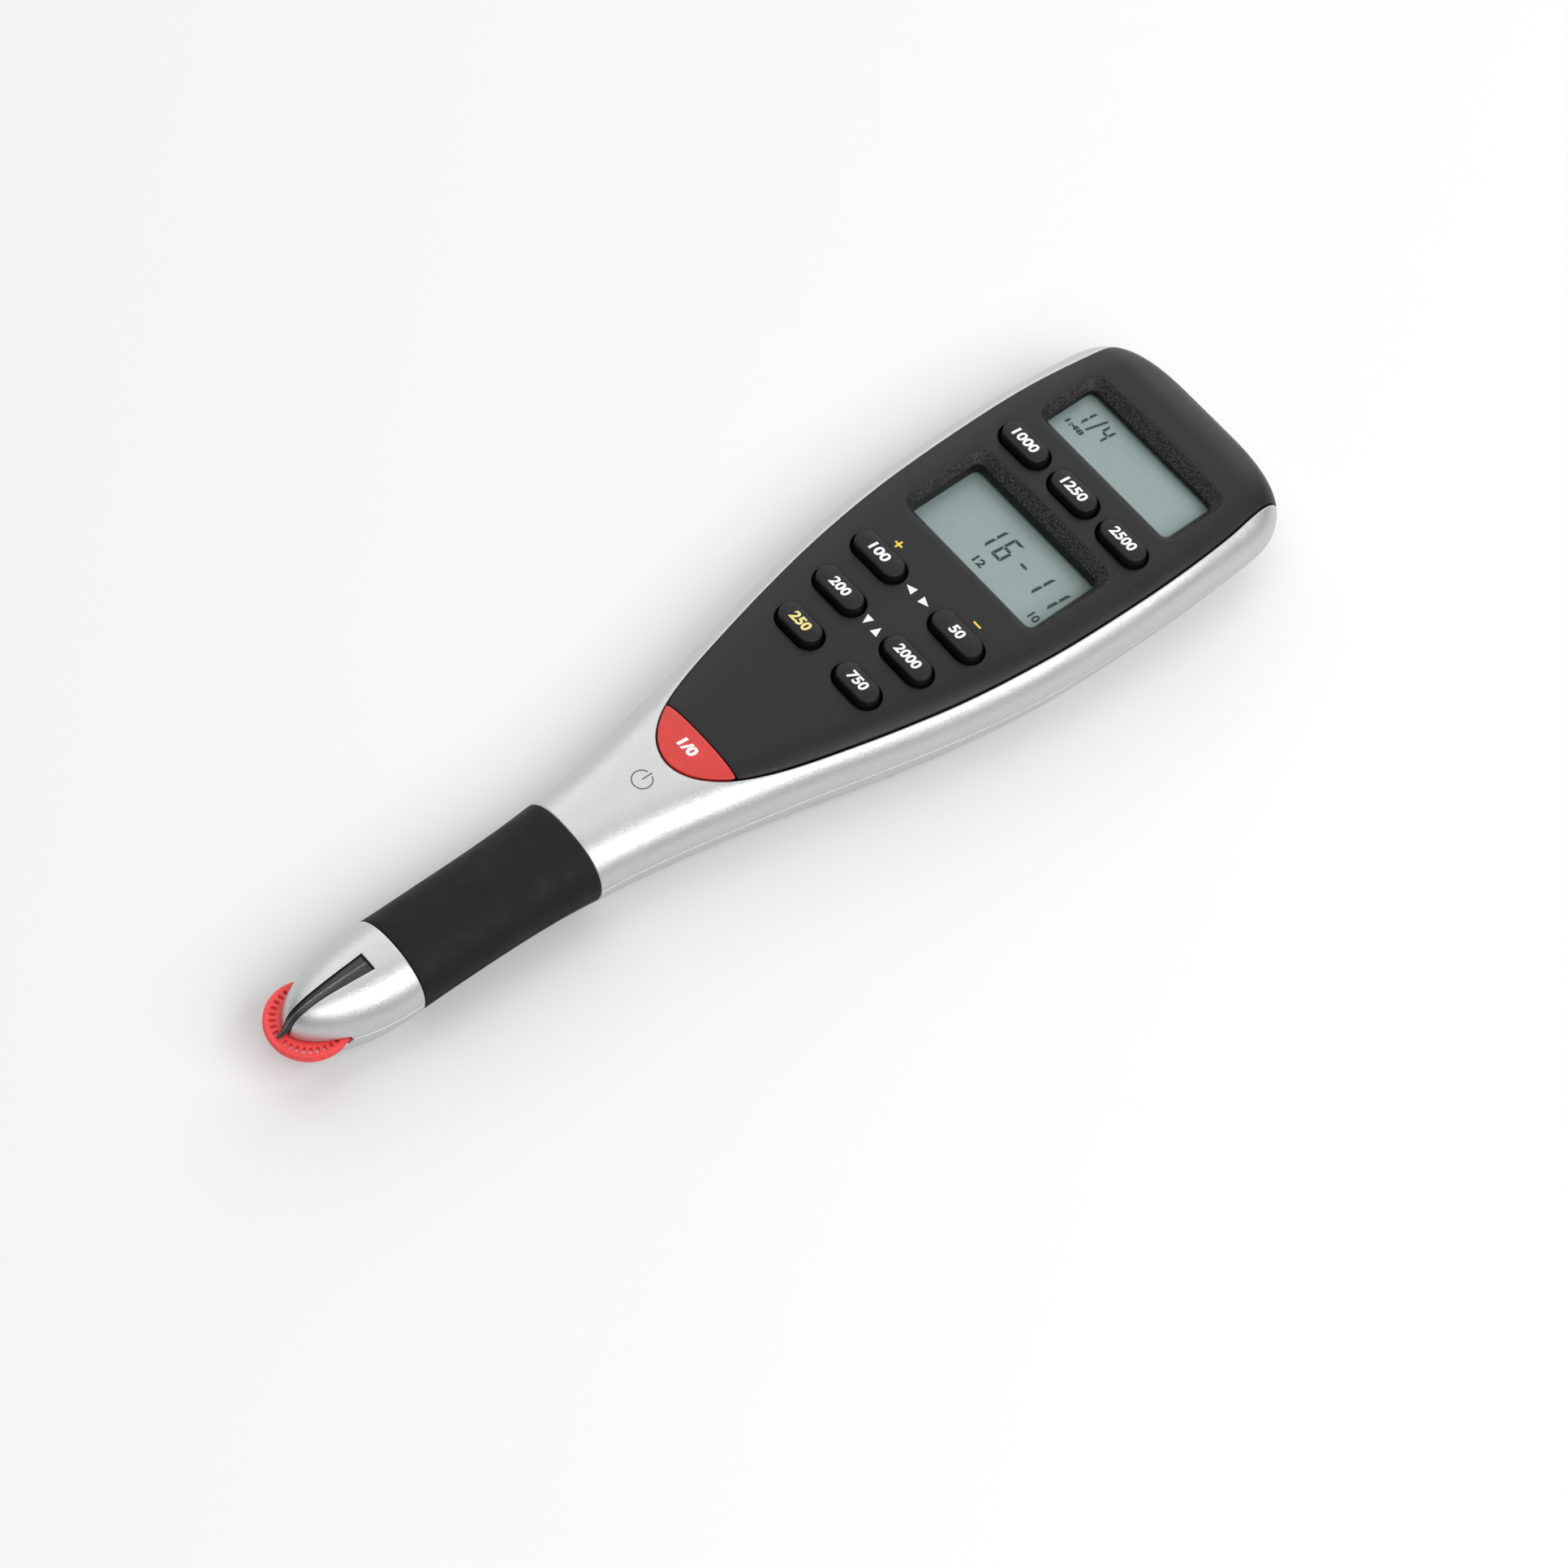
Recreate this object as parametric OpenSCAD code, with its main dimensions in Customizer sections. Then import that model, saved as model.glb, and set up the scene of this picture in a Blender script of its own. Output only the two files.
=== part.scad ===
// Digital plan measure, lying on its back, in millimetres.
// X runs to the right as the face is read, Y runs from the wheel to the top end, Z stands up.
// Lengthwise places are written from the front of the wheel, and the origin is under the middle.

/* [Body] */
// Length over the wheel and the housings
length = 182; // [178:1:186]
// Width of the head
head_w = 45.8; // [45:0.2:46.6]
// Thickness of the head, up to the middle of its face
head_t = 14.4; // [14.2:0.1:14.8]
// Width of the round handle
handle_w = 15.8; // [15.2:0.2:16.6]
// Height of the plane where the two housings meet
split_z = 7.6; // [7.5:0.1:7.8]
// Wall of the housings
wall = 1.6; // [1.4:0.1:1.8]
// Thickness of the grip moulded over the handle
grip_t = 1.2; // [1:0.1:1.4]
// Where the grip starts behind the nose
grip_from = 21.5; // [20.5:0.5:22.5]
// Where the grip ends below the neck
grip_to = 53.3; // [51.5:0.2:54.5]

/* [Face] */
// Where the black panel meets the power key
panel_foot = 79.2; // [78.6:0.2:79.8]
// Foot of the power key
power_foot = 72.3; // [72:0.1:72.8]
// Gap round the panel and round each key
face_gap = 0.2; // [0.15:0.05:0.25]

/* [Displays] */
// Width of both display openings
display_w = 27.4; // [27:0.2:28]
// Middle of the upper display
upper_display_s = 163.75; // [163.25:0.25:164]
// Height of the upper display opening
upper_display_h = 10; // [9.6:0.2:10.2]
// Middle of the main display
main_display_s = 138.25; // [137.75:0.25:138.5]
// Height of the main display opening
main_display_h = 14.1; // [13.5:0.2:14.3]
// How far the sloped bezel reaches out at the sides of each opening
bezel_side = 1.35; // [1.2:0.05:1.5]
// How far it reaches out above each opening
bezel_head = 1.9; // [1.7:0.1:2]
// How far it reaches out below each opening
bezel_foot = 1.15; // [1:0.05:1.3]

/* [Keys] */
// Length of a key across its pill shape, without its round ends
key_h = 4.7; // [4.5:0.1:4.9]
// How far the keys stand above the panel
key_proud = 1.5; // [1.3:0.1:1.7]
// Travel of a key
key_travel = 0.8; // [0.6:0.1:0.9]

/* [Wheel] */
// Diameter of the wheel
wheel_d = 12.94; // [12.6:0.02:13.2]
// Thickness of the wheel
wheel_t = 1.2; // [1:0.1:1.4]
// Number of light slots in the wheel
slot_count = 32; // [24:4:36]
// Diameter of the axle pin
axle_d = 1.6; // [1.4:0.1:1.8]

/* [Battery] */
// Diameter of a button cell
cell_d = 11.6; // [11.4:0.1:11.6]
// Thickness of a button cell
cell_t = 5.4; // [5.2:0.1:5.4]
// Thickness of the battery door
door_t = 1.2; // [1.1:0.1:1.3]

/* [Hidden] */
$fn = 48;

silver = [0.80, 0.81, 0.82];
panel_black = [0.22, 0.22, 0.23];
grip_black = [0.15, 0.15, 0.17];
key_black = [0.13, 0.13, 0.14];
signal_red = [0.84, 0.31, 0.29];
wheel_red = [1.00, 0.31, 0.31];
board_green = [0.12, 0.38, 0.24];
metal = [0.75, 0.74, 0.70];
eps = 0.01;

// Smooth curve through the rows [place, value] of a table
function row_at(t, x, i = 0) = i >= len(t) - 2 || x < t[i + 1][0] ? i : row_at(t, x, i + 1);
function steepness(t, i) =
    let(a = max(i - 1, 0), b = min(i + 1, len(t) - 1)) (t[b][1] - t[a][1]) / (t[b][0] - t[a][0]);
function curve(t, x) =
    let(i = row_at(t, x), d = t[i + 1][0] - t[i][0], u = (x - t[i][0]) / d, v = u * u * (3 - 2 * u))
    (1 - v) * t[i][1] + v * t[i + 1][1]
    + u * (1 - u) * d * ((1 - u) * steepness(t, i) - u * steepness(t, i + 1));

// How round a closed end is: 1 where the rounding starts, falling to 0 at the very end
function closing(t, n) = t <= 0 ? 1 : pow(1 - pow(t, n), 1 / n);

// The body's form: width from above, and height above and below the split plane
nose_tip = 2.4;
nose_round = 20;
end_round = length - 14;
tip_blunt = 0.02;
swell = [[0, 0], [30, 0], [45, 0.013], [56, 0.064], [66, 0.156], [76, 0.282], [88, 0.447],
         [100, 0.634], [113, 0.814], [127, 0.947], [140, 0.992], [153, 0.996], [164, 0.969],
         [length, 0.903]];
underside = [[0, 3.1], [34, 3.1], [47, 2.1], [56, 0.75], [66, 0], [length, 0]];
top_fall = [[0, 0.5], [53, 0.4], [90, 0.1], [120, 0], [length, 0]];
nose_out = (nose_round - nose_tip) + tip_blunt;
function half_w(s) =
    (handle_w + (head_w - handle_w) * curve(swell, s)) / 2
    * closing((nose_round - s) / nose_out, 1.9)
    * closing((s - end_round) / (length - end_round + tip_blunt), 3.4);
function top_h(s) =
    (head_t - curve(top_fall, s) - split_z)
    * closing((14.4 - s) / (14.4 - nose_tip + tip_blunt), 3.6)
    * closing((s - length + 7.5) / (7.5 + tip_blunt), 2.2);
function low_h(s) =
    (split_z - max(0, curve(underside, s)))
    * closing((15 - s) / (15 - nose_tip + tip_blunt), 2.6)
    * closing((s - length + 9) / (9 + tip_blunt), 2);

// One cross-section, from the right edge round to the left edge. The shoulders are wide and round
// at the handle and tighten towards the head; the lower half of the nose has fuller sides.
arc_step = 10;
upper_shoulder = [[0, 7.7], [60, 8], [80, 8.5], [110, 8.8], [130, 8.2], [150, 7.5], [160, 7.1],
                  [170, 8.1], [length, 8.5]];
upper_power = [[0, 2.05], [60, 2.15], [85, 2.3], [110, 2.3], [130, 2.4], [150, 2.5], [160, 2.5],
               [170, 2.3], [length, 2.2]];
lower_shoulder = 12;
lower_power = [[0, 4.2], [12, 4], [17, 3.1], [21.5, 2.5], [30, 2.15], [45, 2.15], [58, 2.35],
               [78, 2.4], [95, 2.7], [110, 2.6], [122, 2.4], [140, 2.2], [160, 2.15], [length, 2]];
shoulder_share = 0.96;
crown = 0.07;
function shoulder(a, h, c, n, t, side) =
    [side * (a - c + c * pow(cos(t), 2 / n)), h * pow(sin(t), 2 / n)];
function arc(a, h, c, n) = concat(
    [for (t = [0:arc_step:90]) shoulder(a, h, c, n, t, 1)],
    [for (f = [0.5, 0, -0.5]) [f * (a - c), h]],
    [for (t = [90:-arc_step:0]) shoulder(a, h, c, n, t, -1)]
);
function place(s, x, z) = [x, s - length / 2, split_z + z];
function upper_ring(s, w, drop) =
    let(a = half_w(s) - w, h = top_h(s) - w)
    let(c = min(curve(upper_shoulder, s) - w, shoulder_share * a))
    let(ring = [for (p = arc(a, h, c, curve(upper_power, s)))
        place(s, p[0], p[1] * (1 - crown * pow(2 * p[0] / head_w, 2)))])
    drop > 0 ? concat([place(s, a, -drop)], ring, [place(s, -a, -drop)]) : ring;
function lower_ring(s, w, drop) =
    let(a = half_w(s) - w, h = low_h(s) - w)
    let(c = min(lower_shoulder - w, shoulder_share * a))
    let(ring = [for (p = arc(a, h, c, curve(lower_power, s))) place(s, -p[0], -p[1])])
    drop > 0 ? concat([place(s, -a, drop)], ring, [place(s, a, drop)]) : ring;

// Places along the body where it is cut into sections, closer together where it is rounded
sections = concat(
    [for (t = [9:9:81]) nose_tip + (nose_round - nose_tip) * (1 - cos(t))],
    [for (s = [nose_round:5.5:end_round - 2]) s],
    [for (t = [0:9:81]) end_round + (length - end_round) * sin(t)],
    [length - 0.06]
);
function stations(a, b) = concat([a], [for (s = sections) if (s > a + 0.2 && s < b - 0.02) s], [b]);

// A solid through a row of sections
module loft(rings) {
    n = len(rings[0]);
    m = len(rings);
    sides = [for (j = [0:m - 2], i = [0:n - 1]) let(k = (i + 1) % n)
        each [[j * n + i, j * n + k, j * n + n + k], [j * n + i, j * n + n + k, j * n + n + i]]];
    start_cap = [for (i = [n - 1:-1:0]) i];
    end_cap = [for (i = [0:n - 1]) (m - 1) * n + i];
    polyhedron([for (r = rings) each r], concat([start_cap], sides, [end_cap]), convexity = 6);
}
module upper_form(a, b, w = 0, drop = 0) {
    loft([for (s = stations(a, b)) upper_ring(s, w, drop)]);
}
module lower_form(a, b, w = 0, drop = 0) {
    loft([for (s = stations(a, b)) lower_ring(s, w, drop)]);
}

// Moves what follows to a place along the body
module at(s, x = 0, z = 0) {
    translate([x, s - length / 2, z]) children();
}
module rounded(w, h, r) {
    square([w - 2 * r, h], center = true);
    square([w, h - 2 * r], center = true);
    for (x = [r - w / 2, w / 2 - r], y = [r - h / 2, h / 2 - r]) translate([x, y]) circle(r);
}
module plate(w, h, r, z0, z1) {
    translate([0, 0, z0]) linear_extrude(z1 - z0) rounded(w, h, r);
}
module pill(w, h) {
    square([w - h, h], center = true);
    for (x = [h - w, w - h]) translate([x / 2, 0]) circle(h / 2);
}

// Outline shared by the panel and the power key. The table holds the square of the half width,
// which makes the foot come out round.
outline_foot = power_foot - face_gap;
outline_sq = [[0, 0], [1.9, 21.6], [6.1, 60.7], [12.4, 106.1], [22.5, 170.3], [32.5, 236.3],
              [42.5, 299.8], [52.5, 348], [62.5, 379.6], [76.5, 395], [86.3, 390], [94.3, 370],
              [102.3, 334], [120, 290]];
function outline_x(d) = sqrt(max(0, curve(outline_sq, d)));
outline_steps = concat([for (i = [0:7]) 6.6 * pow(i / 8, 2)], [for (i = [0:26]) 6.6 + 4.1 * i]);
module face_outline() {
    translate([0, outline_foot - length / 2]) polygon(concat(
        [for (d = outline_steps) [outline_x(d), d]],
        [for (i = [len(outline_steps) - 1:-1:1]) [-outline_x(outline_steps[i]), outline_steps[i]]]
    ));
}
power_bow_r = 78;
module power_side(r) {
    translate([0, panel_foot - length / 2 - power_bow_r]) circle(r, $fn = 360);
}
module panel_outline(d = 0) {
    offset(delta = d) difference() {
        face_outline();
        power_side(power_bow_r);
    }
}
module power_outline(d = 0) {
    offset(delta = d) intersection() {
        face_outline();
        power_side(power_bow_r - face_gap);
    }
}
module body_outline(inset, a, b) {
    list = stations(a, b);
    polygon(concat(
        [for (s = list) [half_w(s) - inset, s - length / 2]],
        [for (i = [len(list) - 1:-1:0]) [inset - half_w(list[i]), list[i] - length / 2]]
    ));
}

// Levels inside the head, counted up from the table
panel_under = 12.2;
ledge_under = 11;
board_top = 8;
board_t = 1;
mat_top = 8.9;
collar_top = 9.9;
bezel_z = 12.9;
window_t = 0.8;
display_t = 1.1;
upper_window_z = 10.9;
main_window_z = 10;
key_flange_t = 0.9;
key_flange_out = 0.6;
plunger_z = board_top + key_travel + 0.1;

// Keys: number, place across, place along, width
keys = [
    [1, -11.1, 152, 9.4], [2, 0, 152, 9.4], [3, 11.1, 152, 9.4],
    [4, -8.8, 120.6, 10.3], [5, 8.8, 120.6, 10.3],
    [6, -7.7, 111.8, 9.7], [7, 7.7, 111.8, 9.7],
    [8, -6.5, 103, 8.7], [9, 6.5, 103, 8.7]
];

// Screws: place across, place along
neck_screw_s = 60;
neck_boss_h = 5;
screw_spots = [[-13.5, 172.6], [13.5, 172.6], [-8, 91], [8, 91], [0, neck_screw_s]];
screw_head_d = 3.6;
screw_head_top = 3.4;
screw_head_t = 1.2;
screw_d = 1.9;
screw_l = 8;
screw_cross_l = 2;
screw_cross_w = 0.4;
boss_d = 4.8;

// Battery bay, in the back of the head
bay_from = 100.9;
bay_w = cell_d + 1;
cell_gap = 0.3;
cell_low = door_t + 0.25;
cell_front_s = bay_from + 0.4 + cell_d / 2;
cell_rear_s = cell_front_s + cell_d + cell_gap;
bay_to = cell_rear_s + cell_d / 2 + 2.6;
door_from = bay_from - 2.2;
door_to = bay_to + 2.2;
door_w = bay_w + 4.4;
door_gap = 0.15;
floor_t = 2.2;

// Hooks at the head side of the door, and its thumb grooves
hook_x = 4;
hook_w = 2.4;
hook_leg_t = 1.4;
hook_leg_h = 2.6;
hook_toe_l = 3.8;
hook_toe_t = 0.7;
hook_s = bay_to + 0.6;
hook_hole = [hook_w + 0.8, 2, 5];
groove_pitch = 2.4;
groove_l = 7;
groove_w = 1;
groove_d = 0.35;

wheel_s = wheel_d / 2;
wheel_gap = 0.35;
pocket_h = wheel_t + 2 * wheel_gap;
pocket_d = wheel_d + 0.9;
axle_low = 4.4;
axle_l = 6.7;
gate_h = 5;
gate_bay_s = 13;
gate_bay_w = 7;
gate_bay_l = 9.4;
channel_floor = 6.4;
channel_from = 15;
channel_l = 42;
channel_w = 9.2;
channel_h = 4.3;
channel_r = 1.4;

// Hollow of the head, and the opening in its end that the panel fills
hollow_from = 56;
end_opening_w = 60;
end_opening_d = 20;
end_opening_s = length - 2;

module screw_holes(z0, z1, d) {
    for (p = screw_spots) at(p[1], p[0], z0) cylinder(d = d, h = z1 - z0);
}
module wheel_pocket() {
    at(wheel_s, 0, split_z - pocket_h / 2) cylinder(d = pocket_d, h = pocket_h, $fn = 96);
    at(wheel_s, 0, axle_low) cylinder(d = axle_d + 0.02, h = axle_l + 0.1);
    at(gate_bay_s, 0, split_z) cube([gate_bay_w, gate_bay_l, gate_h], center = true);
}
module handle_channel() {
    at(channel_from, 0, channel_floor + channel_h / 2) rotate([-90, 0, 0]) linear_extrude(channel_l)
        rounded(channel_w, channel_h, channel_r);
}

module upper_housing() {
    color(silver) difference() {
        union() {
            upper_form(nose_tip, grip_from);
            upper_form(grip_from - 1, grip_to + 1, grip_t);
            upper_form(grip_to, length);
        }
        translate([0, 0, split_z - eps]) linear_extrude(ledge_under - split_z + eps)
            body_outline(wall + 0.1, hollow_from, length - 0.5);
        translate([0, 0, ledge_under - eps]) linear_extrude(4) panel_outline(-1.5);
        translate([0, 0, panel_under]) linear_extrude(4) panel_outline(face_gap);
        intersection() {
            translate([0, 0, split_z - eps]) linear_extrude(8) panel_outline(face_gap);
            at(end_opening_s, 0, split_z)
                cube([end_opening_w, end_opening_d, end_opening_d], center = true);
        }
        translate([0, 0, ledge_under - 1]) linear_extrude(6) power_outline(face_gap);
        pointer_slot();
        wheel_pocket();
        handle_channel();
        neck_screw_hole();
    }
    color(silver) difference() {
        at(neck_screw_s, 0, split_z) cylinder(d = boss_d, h = neck_boss_h);
        neck_screw_hole();
    }
}
module neck_screw_hole() {
    at(neck_screw_s, 0, split_z - 1) cylinder(d = screw_d + 0.04, h = neck_boss_h + 0.4);
}

module lower_housing() {
    color(silver) difference() {
        union() {
            difference() {
                union() {
                    lower_form(nose_tip, grip_from);
                    lower_form(grip_from - 1, grip_to + 1, grip_t);
                    lower_form(grip_to, length);
                }
                lower_form(hollow_from, length - 2.6, wall, 1);
            }
            intersection() {
                lower_form(grip_to, length);
                union() {
                    screw_bosses();
                    board_posts();
                    bay_walls();
                }
            }
        }
        screw_holes(-1, 9, screw_d + 0.3);
        screw_holes(-1, screw_head_top, screw_head_d + 0.4);
        bay_hollow();
        wheel_pocket();
        handle_channel();
    }
}
module screw_bosses() {
    for (p = screw_spots) at(p[1], p[0], 0) cylinder(d = boss_d + 1, h = split_z);
}
module board_posts() {
    for (x = [-15.8, 15.8], s = [134, 160]) at(s, x, 0) cylinder(d = 3, h = board_top - board_t);
}
module bay_walls() {
    at((door_from + door_to) / 2) plate(door_w + 2, door_to - door_from + 2, 2, 0, floor_t);
    at((bay_from + bay_to) / 2) plate(bay_w + 2, bay_to - bay_from + 2, 1, 0, board_top - board_t);
}
module bay_hollow() {
    at((bay_from + bay_to) / 2) plate(bay_w, bay_to - bay_from, 0.5, -1, board_top);
    at((door_from + door_to) / 2)
        plate(door_w + 2 * door_gap, door_to - door_from + 2 * door_gap, 1.6, -1, door_t + 0.05);
    for (x = [-hook_x, hook_x]) at(hook_s + 0.1, x, hook_hole[2] / 2) cube(hook_hole, center = true);
}

module grip_upper() {
    color(grip_black) difference() {
        upper_form(grip_from, grip_to);
        upper_form(grip_from - 1, grip_to + 1, grip_t, 1);
    }
}
module grip_lower() {
    color(grip_black) difference() {
        lower_form(grip_from, grip_to);
        lower_form(grip_from - 1, grip_to + 1, grip_t, 1);
    }
}

// Stepped opening for a display: sloped bezel, straight wall, seat of the window and of the glass
bezel_rise = 1.4;
bezel_over = 1.3;
glass_lap = 2;
module display_opening(h, window_z, glass_h) {
    hull() {
        plate(display_w, h, 0.8, bezel_z, bezel_z + eps);
        translate([0, bezel_over * (bezel_head - bezel_foot) / 2, bezel_over * bezel_rise])
            plate(display_w + 2 * bezel_over * bezel_side, h + bezel_over * (bezel_head + bezel_foot),
                2.4, bezel_z, bezel_z + eps);
    }
    plate(display_w, h, 0.8, split_z - 3, bezel_z + eps);
    plate(display_w + glass_lap + 0.2, glass_h, 0.5, split_z - 3, window_z + window_t);
}
upper_glass_h = upper_display_h + 2;
main_glass_h = main_display_h + 2.2;
module display_frame(glass_h, low) {
    plate(display_w + 4.6, glass_h + 2.4, 1, low, panel_under + eps);
}

module faceplate() {
    color(panel_black) difference() {
        union() {
            difference() {
                intersection() {
                    upper_form(panel_foot - 3, length);
                    translate([0, 0, split_z]) linear_extrude(10) panel_outline();
                }
                translate([0, 0, split_z - 1]) linear_extrude(panel_under - split_z + 1)
                    offset(delta = -1.8) body_outline(0, 60, length);
            }
            at(upper_display_s) display_frame(upper_glass_h, upper_window_z - display_t);
            at(main_display_s) display_frame(main_glass_h, main_window_z - display_t);
            for (i = [0:3]) at(screw_spots[i][1], screw_spots[i][0], split_z)
                cylinder(d = boss_d, h = panel_under - split_z + eps);
        }
        at(upper_display_s) display_opening(upper_display_h, upper_window_z, upper_glass_h);
        at(main_display_s) display_opening(main_display_h, main_window_z, main_glass_h);
        for (k = keys) at(k[2], k[1], panel_under - 1) linear_extrude(5)
            pill(k[3] + 2 * face_gap, key_h + 2 * face_gap);
        screw_holes(split_z - 1, panel_under, screw_d + 0.04);
    }
}

module upper_window() {
    color([0.8, 0.85, 0.85, 0.5]) at(upper_display_s)
        plate(display_w + glass_lap, upper_glass_h - 0.2, 0.4, upper_window_z, upper_window_z + window_t);
}
module main_window() {
    color([0.8, 0.85, 0.85, 0.5]) at(main_display_s)
        plate(display_w + glass_lap, main_glass_h - 0.2, 0.4, main_window_z, main_window_z + window_t);
}
module upper_display() {
    color([0.58, 0.65, 0.64]) at(upper_display_s)
        plate(display_w + glass_lap, upper_glass_h - 0.2, 0.3, upper_window_z - display_t, upper_window_z);
}
module main_display() {
    color([0.58, 0.65, 0.64]) at(main_display_s)
        plate(display_w + glass_lap, main_glass_h - 0.2, 0.3, main_window_z - display_t, main_window_z);
}
connector_t = 1.8;
connector_in = 1.4;
module connector_strip(s, top) {
    at(s) plate(display_w - 1, connector_t, 0.4, board_top, top);
}
module upper_connector() {
    color(grip_black)
        connector_strip(upper_display_s - upper_glass_h / 2 + connector_in, upper_window_z - display_t);
}
module main_connector() {
    color(grip_black)
        connector_strip(main_display_s + main_glass_h / 2 - connector_in, main_window_z - display_t);
}

// Key: a drafted pill with a rounded brim and a slightly domed top, a flange and a plunger
key_top = head_t + key_proud;
key_draft = 0.35;
key_round = 0.45;
key_dome = 0.15;
plunger_in = 2.4;
collar_in = 1.6;
pad_in = 2.6;
pad_t = 0.08;
module key_profile(r) {
    z0 = panel_under - 0.05;
    straight = [[0, z0], [r, z0], [r - key_draft, key_top - key_dome - key_round]];
    brim = [for (t = [30:30:90])
        [r - key_draft - key_round * (1 - cos(t)), key_top - key_dome - key_round * (1 - sin(t))]];
    polygon(concat(straight, brim, [[0, key_top]]));
}
module key(i) {
    k = keys[i];
    r = key_h / 2;
    mid = k[3] / 2 - r;
    color(key_black) at(k[2], k[1]) {
        for (side = [0, 1]) mirror([side, 0, 0]) translate([mid, 0, 0]) rotate([0, 0, -90])
            rotate_extrude(angle = 180) key_profile(r);
        translate([-mid, 0, 0]) rotate([90, 0, 90]) linear_extrude(2 * mid) {
            key_profile(r);
            mirror([1, 0]) key_profile(r);
        }
        translate([0, 0, panel_under - 0.05 - key_flange_t]) linear_extrude(key_flange_t)
            pill(k[3] + 2 * key_flange_out, key_h + 2 * key_flange_out);
        translate([0, 0, plunger_z]) linear_extrude(panel_under - plunger_z - 0.5)
            pill(k[3] - plunger_in, key_h - plunger_in);
    }
}

power_plunger_d = 3;
power_plunger_s = (power_foot + panel_foot) / 2 + 0.6;
module power_key() {
    color(signal_red) {
        intersection() {
            translate([0, 0, 0.2]) upper_form(power_foot - 2, panel_foot + 2);
            translate([0, 0, ledge_under - 0.5]) linear_extrude(6) power_outline();
        }
        translate([0, 0, ledge_under - 1]) linear_extrude(0.9) power_outline(0.5);
        at(power_plunger_s, 0, plunger_z)
            cylinder(d = power_plunger_d, h = ledge_under - plunger_z - 0.5);
    }
}

// Rubber sheet under the keys, with a raised collar round each plunger
module sheet_outline() {
    at(152) square([37.2, 9.4], center = true);
    for (x = [-17.9, 17.9]) at(137, x) square([1.8, 30], center = true);
    translate([0, -length / 2]) polygon([
        [-4.7, 70.6], [4.7, 70.6], [4.7, 97], [12.6, 98.4], [18.8, 124],
        [-18.8, 124], [-12.6, 98.4], [-4.7, 97]
    ]);
}
module keypad_mat() {
    color([0.3, 0.3, 0.32]) difference() {
        union() {
            translate([0, 0, board_top]) linear_extrude(mat_top - board_top) sheet_outline();
            for (k = keys) at(k[2], k[1], mat_top - eps) linear_extrude(collar_top - mat_top + eps)
                pill(k[3] + 0.4, key_h + 0.4);
            at(power_plunger_s, 0, mat_top - eps) cylinder(d = 2 * power_plunger_d, h = 0.2);
        }
        for (k = keys) at(k[2], k[1], board_top - 1) linear_extrude(5)
            pill(k[3] - collar_in, key_h - collar_in);
        at(power_plunger_s, 0, board_top - 1) cylinder(d = power_plunger_d + 0.8, h = 5);
    }
}

module main_board() {
    color(board_green) translate([0, 0, board_top - board_t]) linear_extrude(board_t)
        translate([0, -length / 2]) polygon([
            [-4.7, 64], [4.7, 64], [4.7, 97], [13.2, 98], [19, 124], [19.4, 150], [18.6, 165],
            [17, 169.4], [-17, 169.4], [-18.6, 165], [-19.4, 150], [-19, 124], [-13.2, 98],
            [-4.7, 97]
        ]);
}
module contact_pads() {
    color([0.8, 0.65, 0.3]) {
        for (k = keys) at(k[2], k[1], board_top) linear_extrude(pad_t)
            pill(k[3] - pad_in, key_h - pad_in);
        at(power_plunger_s, 0, board_top) cylinder(d = power_plunger_d - 0.2, h = pad_t);
    }
}
chip_s = 151;
chip_w = 12;
chip_l = 9;
chip_t = 1.4;
module board_chip() {
    color([0.1, 0.1, 0.1]) at(chip_s, 0, board_top - board_t - chip_t) linear_extrude(chip_t)
        rounded(chip_w, chip_l, 0.6);
}

// Pointer: a strip let into the nose that curves over its front and ends above the rim of the wheel
pointer_rear = 16.8;
pointer_recess = 0.45;
pointer_t = 1.1;
ridge_w = 0.5;
ridge_h = 0.25;
ridge_l = 15.2;
pointer_steps = [for (i = [0:9]) pointer_rear - (pointer_rear - 3) * sin(9 * i)];
function nose_z(s) = split_z + top_h(s);
module pointer_plan(out) {
    translate([0, -length / 2]) polygon([
        [-1.52 - out, pointer_rear + out], [1.52 + out, pointer_rear + out], [0.95 + out, 8.3],
        [0.75 + out, 2.8], [0.15 + out, 0.8 - out], [-0.15 - out, 0.8 - out], [-0.75 - out, 2.8],
        [-0.95 - out, 8.3]
    ]);
}
// Strip seen from the side, from a depth under the nose's surface to a lower depth
module pointer_side(top_d, low_d) {
    polygon(concat(
        [for (s = pointer_steps) [s - length / 2, nose_z(s) - top_d]],
        [[2.1 - length / 2, 9.7 - top_d], [0.8 - length / 2, 8.75], [0.8 - length / 2, 8.5],
         [2.2 - length / 2, 8.5]],
        [for (i = [9:-1:0]) [pointer_steps[i] + 0.4 - length / 2, nose_z(pointer_steps[i]) - low_d]]
    ));
}
module across(w) {
    translate([-w / 2, 0, 0]) rotate([90, 0, 90]) linear_extrude(w) children();
}
module pointer_slot() {
    intersection() {
        linear_extrude(30) pointer_plan(0.05);
        across(5) pointer_side(-6, pointer_recess + pointer_t);
    }
}
module pointer_insert() {
    color([0.28, 0.28, 0.29]) {
        intersection() {
            linear_extrude(30) pointer_plan(0);
            across(5) pointer_side(pointer_recess, pointer_recess + pointer_t);
        }
        intersection() {
            linear_extrude(30) at(9, 0) square([ridge_w, ridge_l], center = true);
            across(5) pointer_side(pointer_recess - ridge_h, pointer_recess + 0.4);
        }
    }
}

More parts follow.
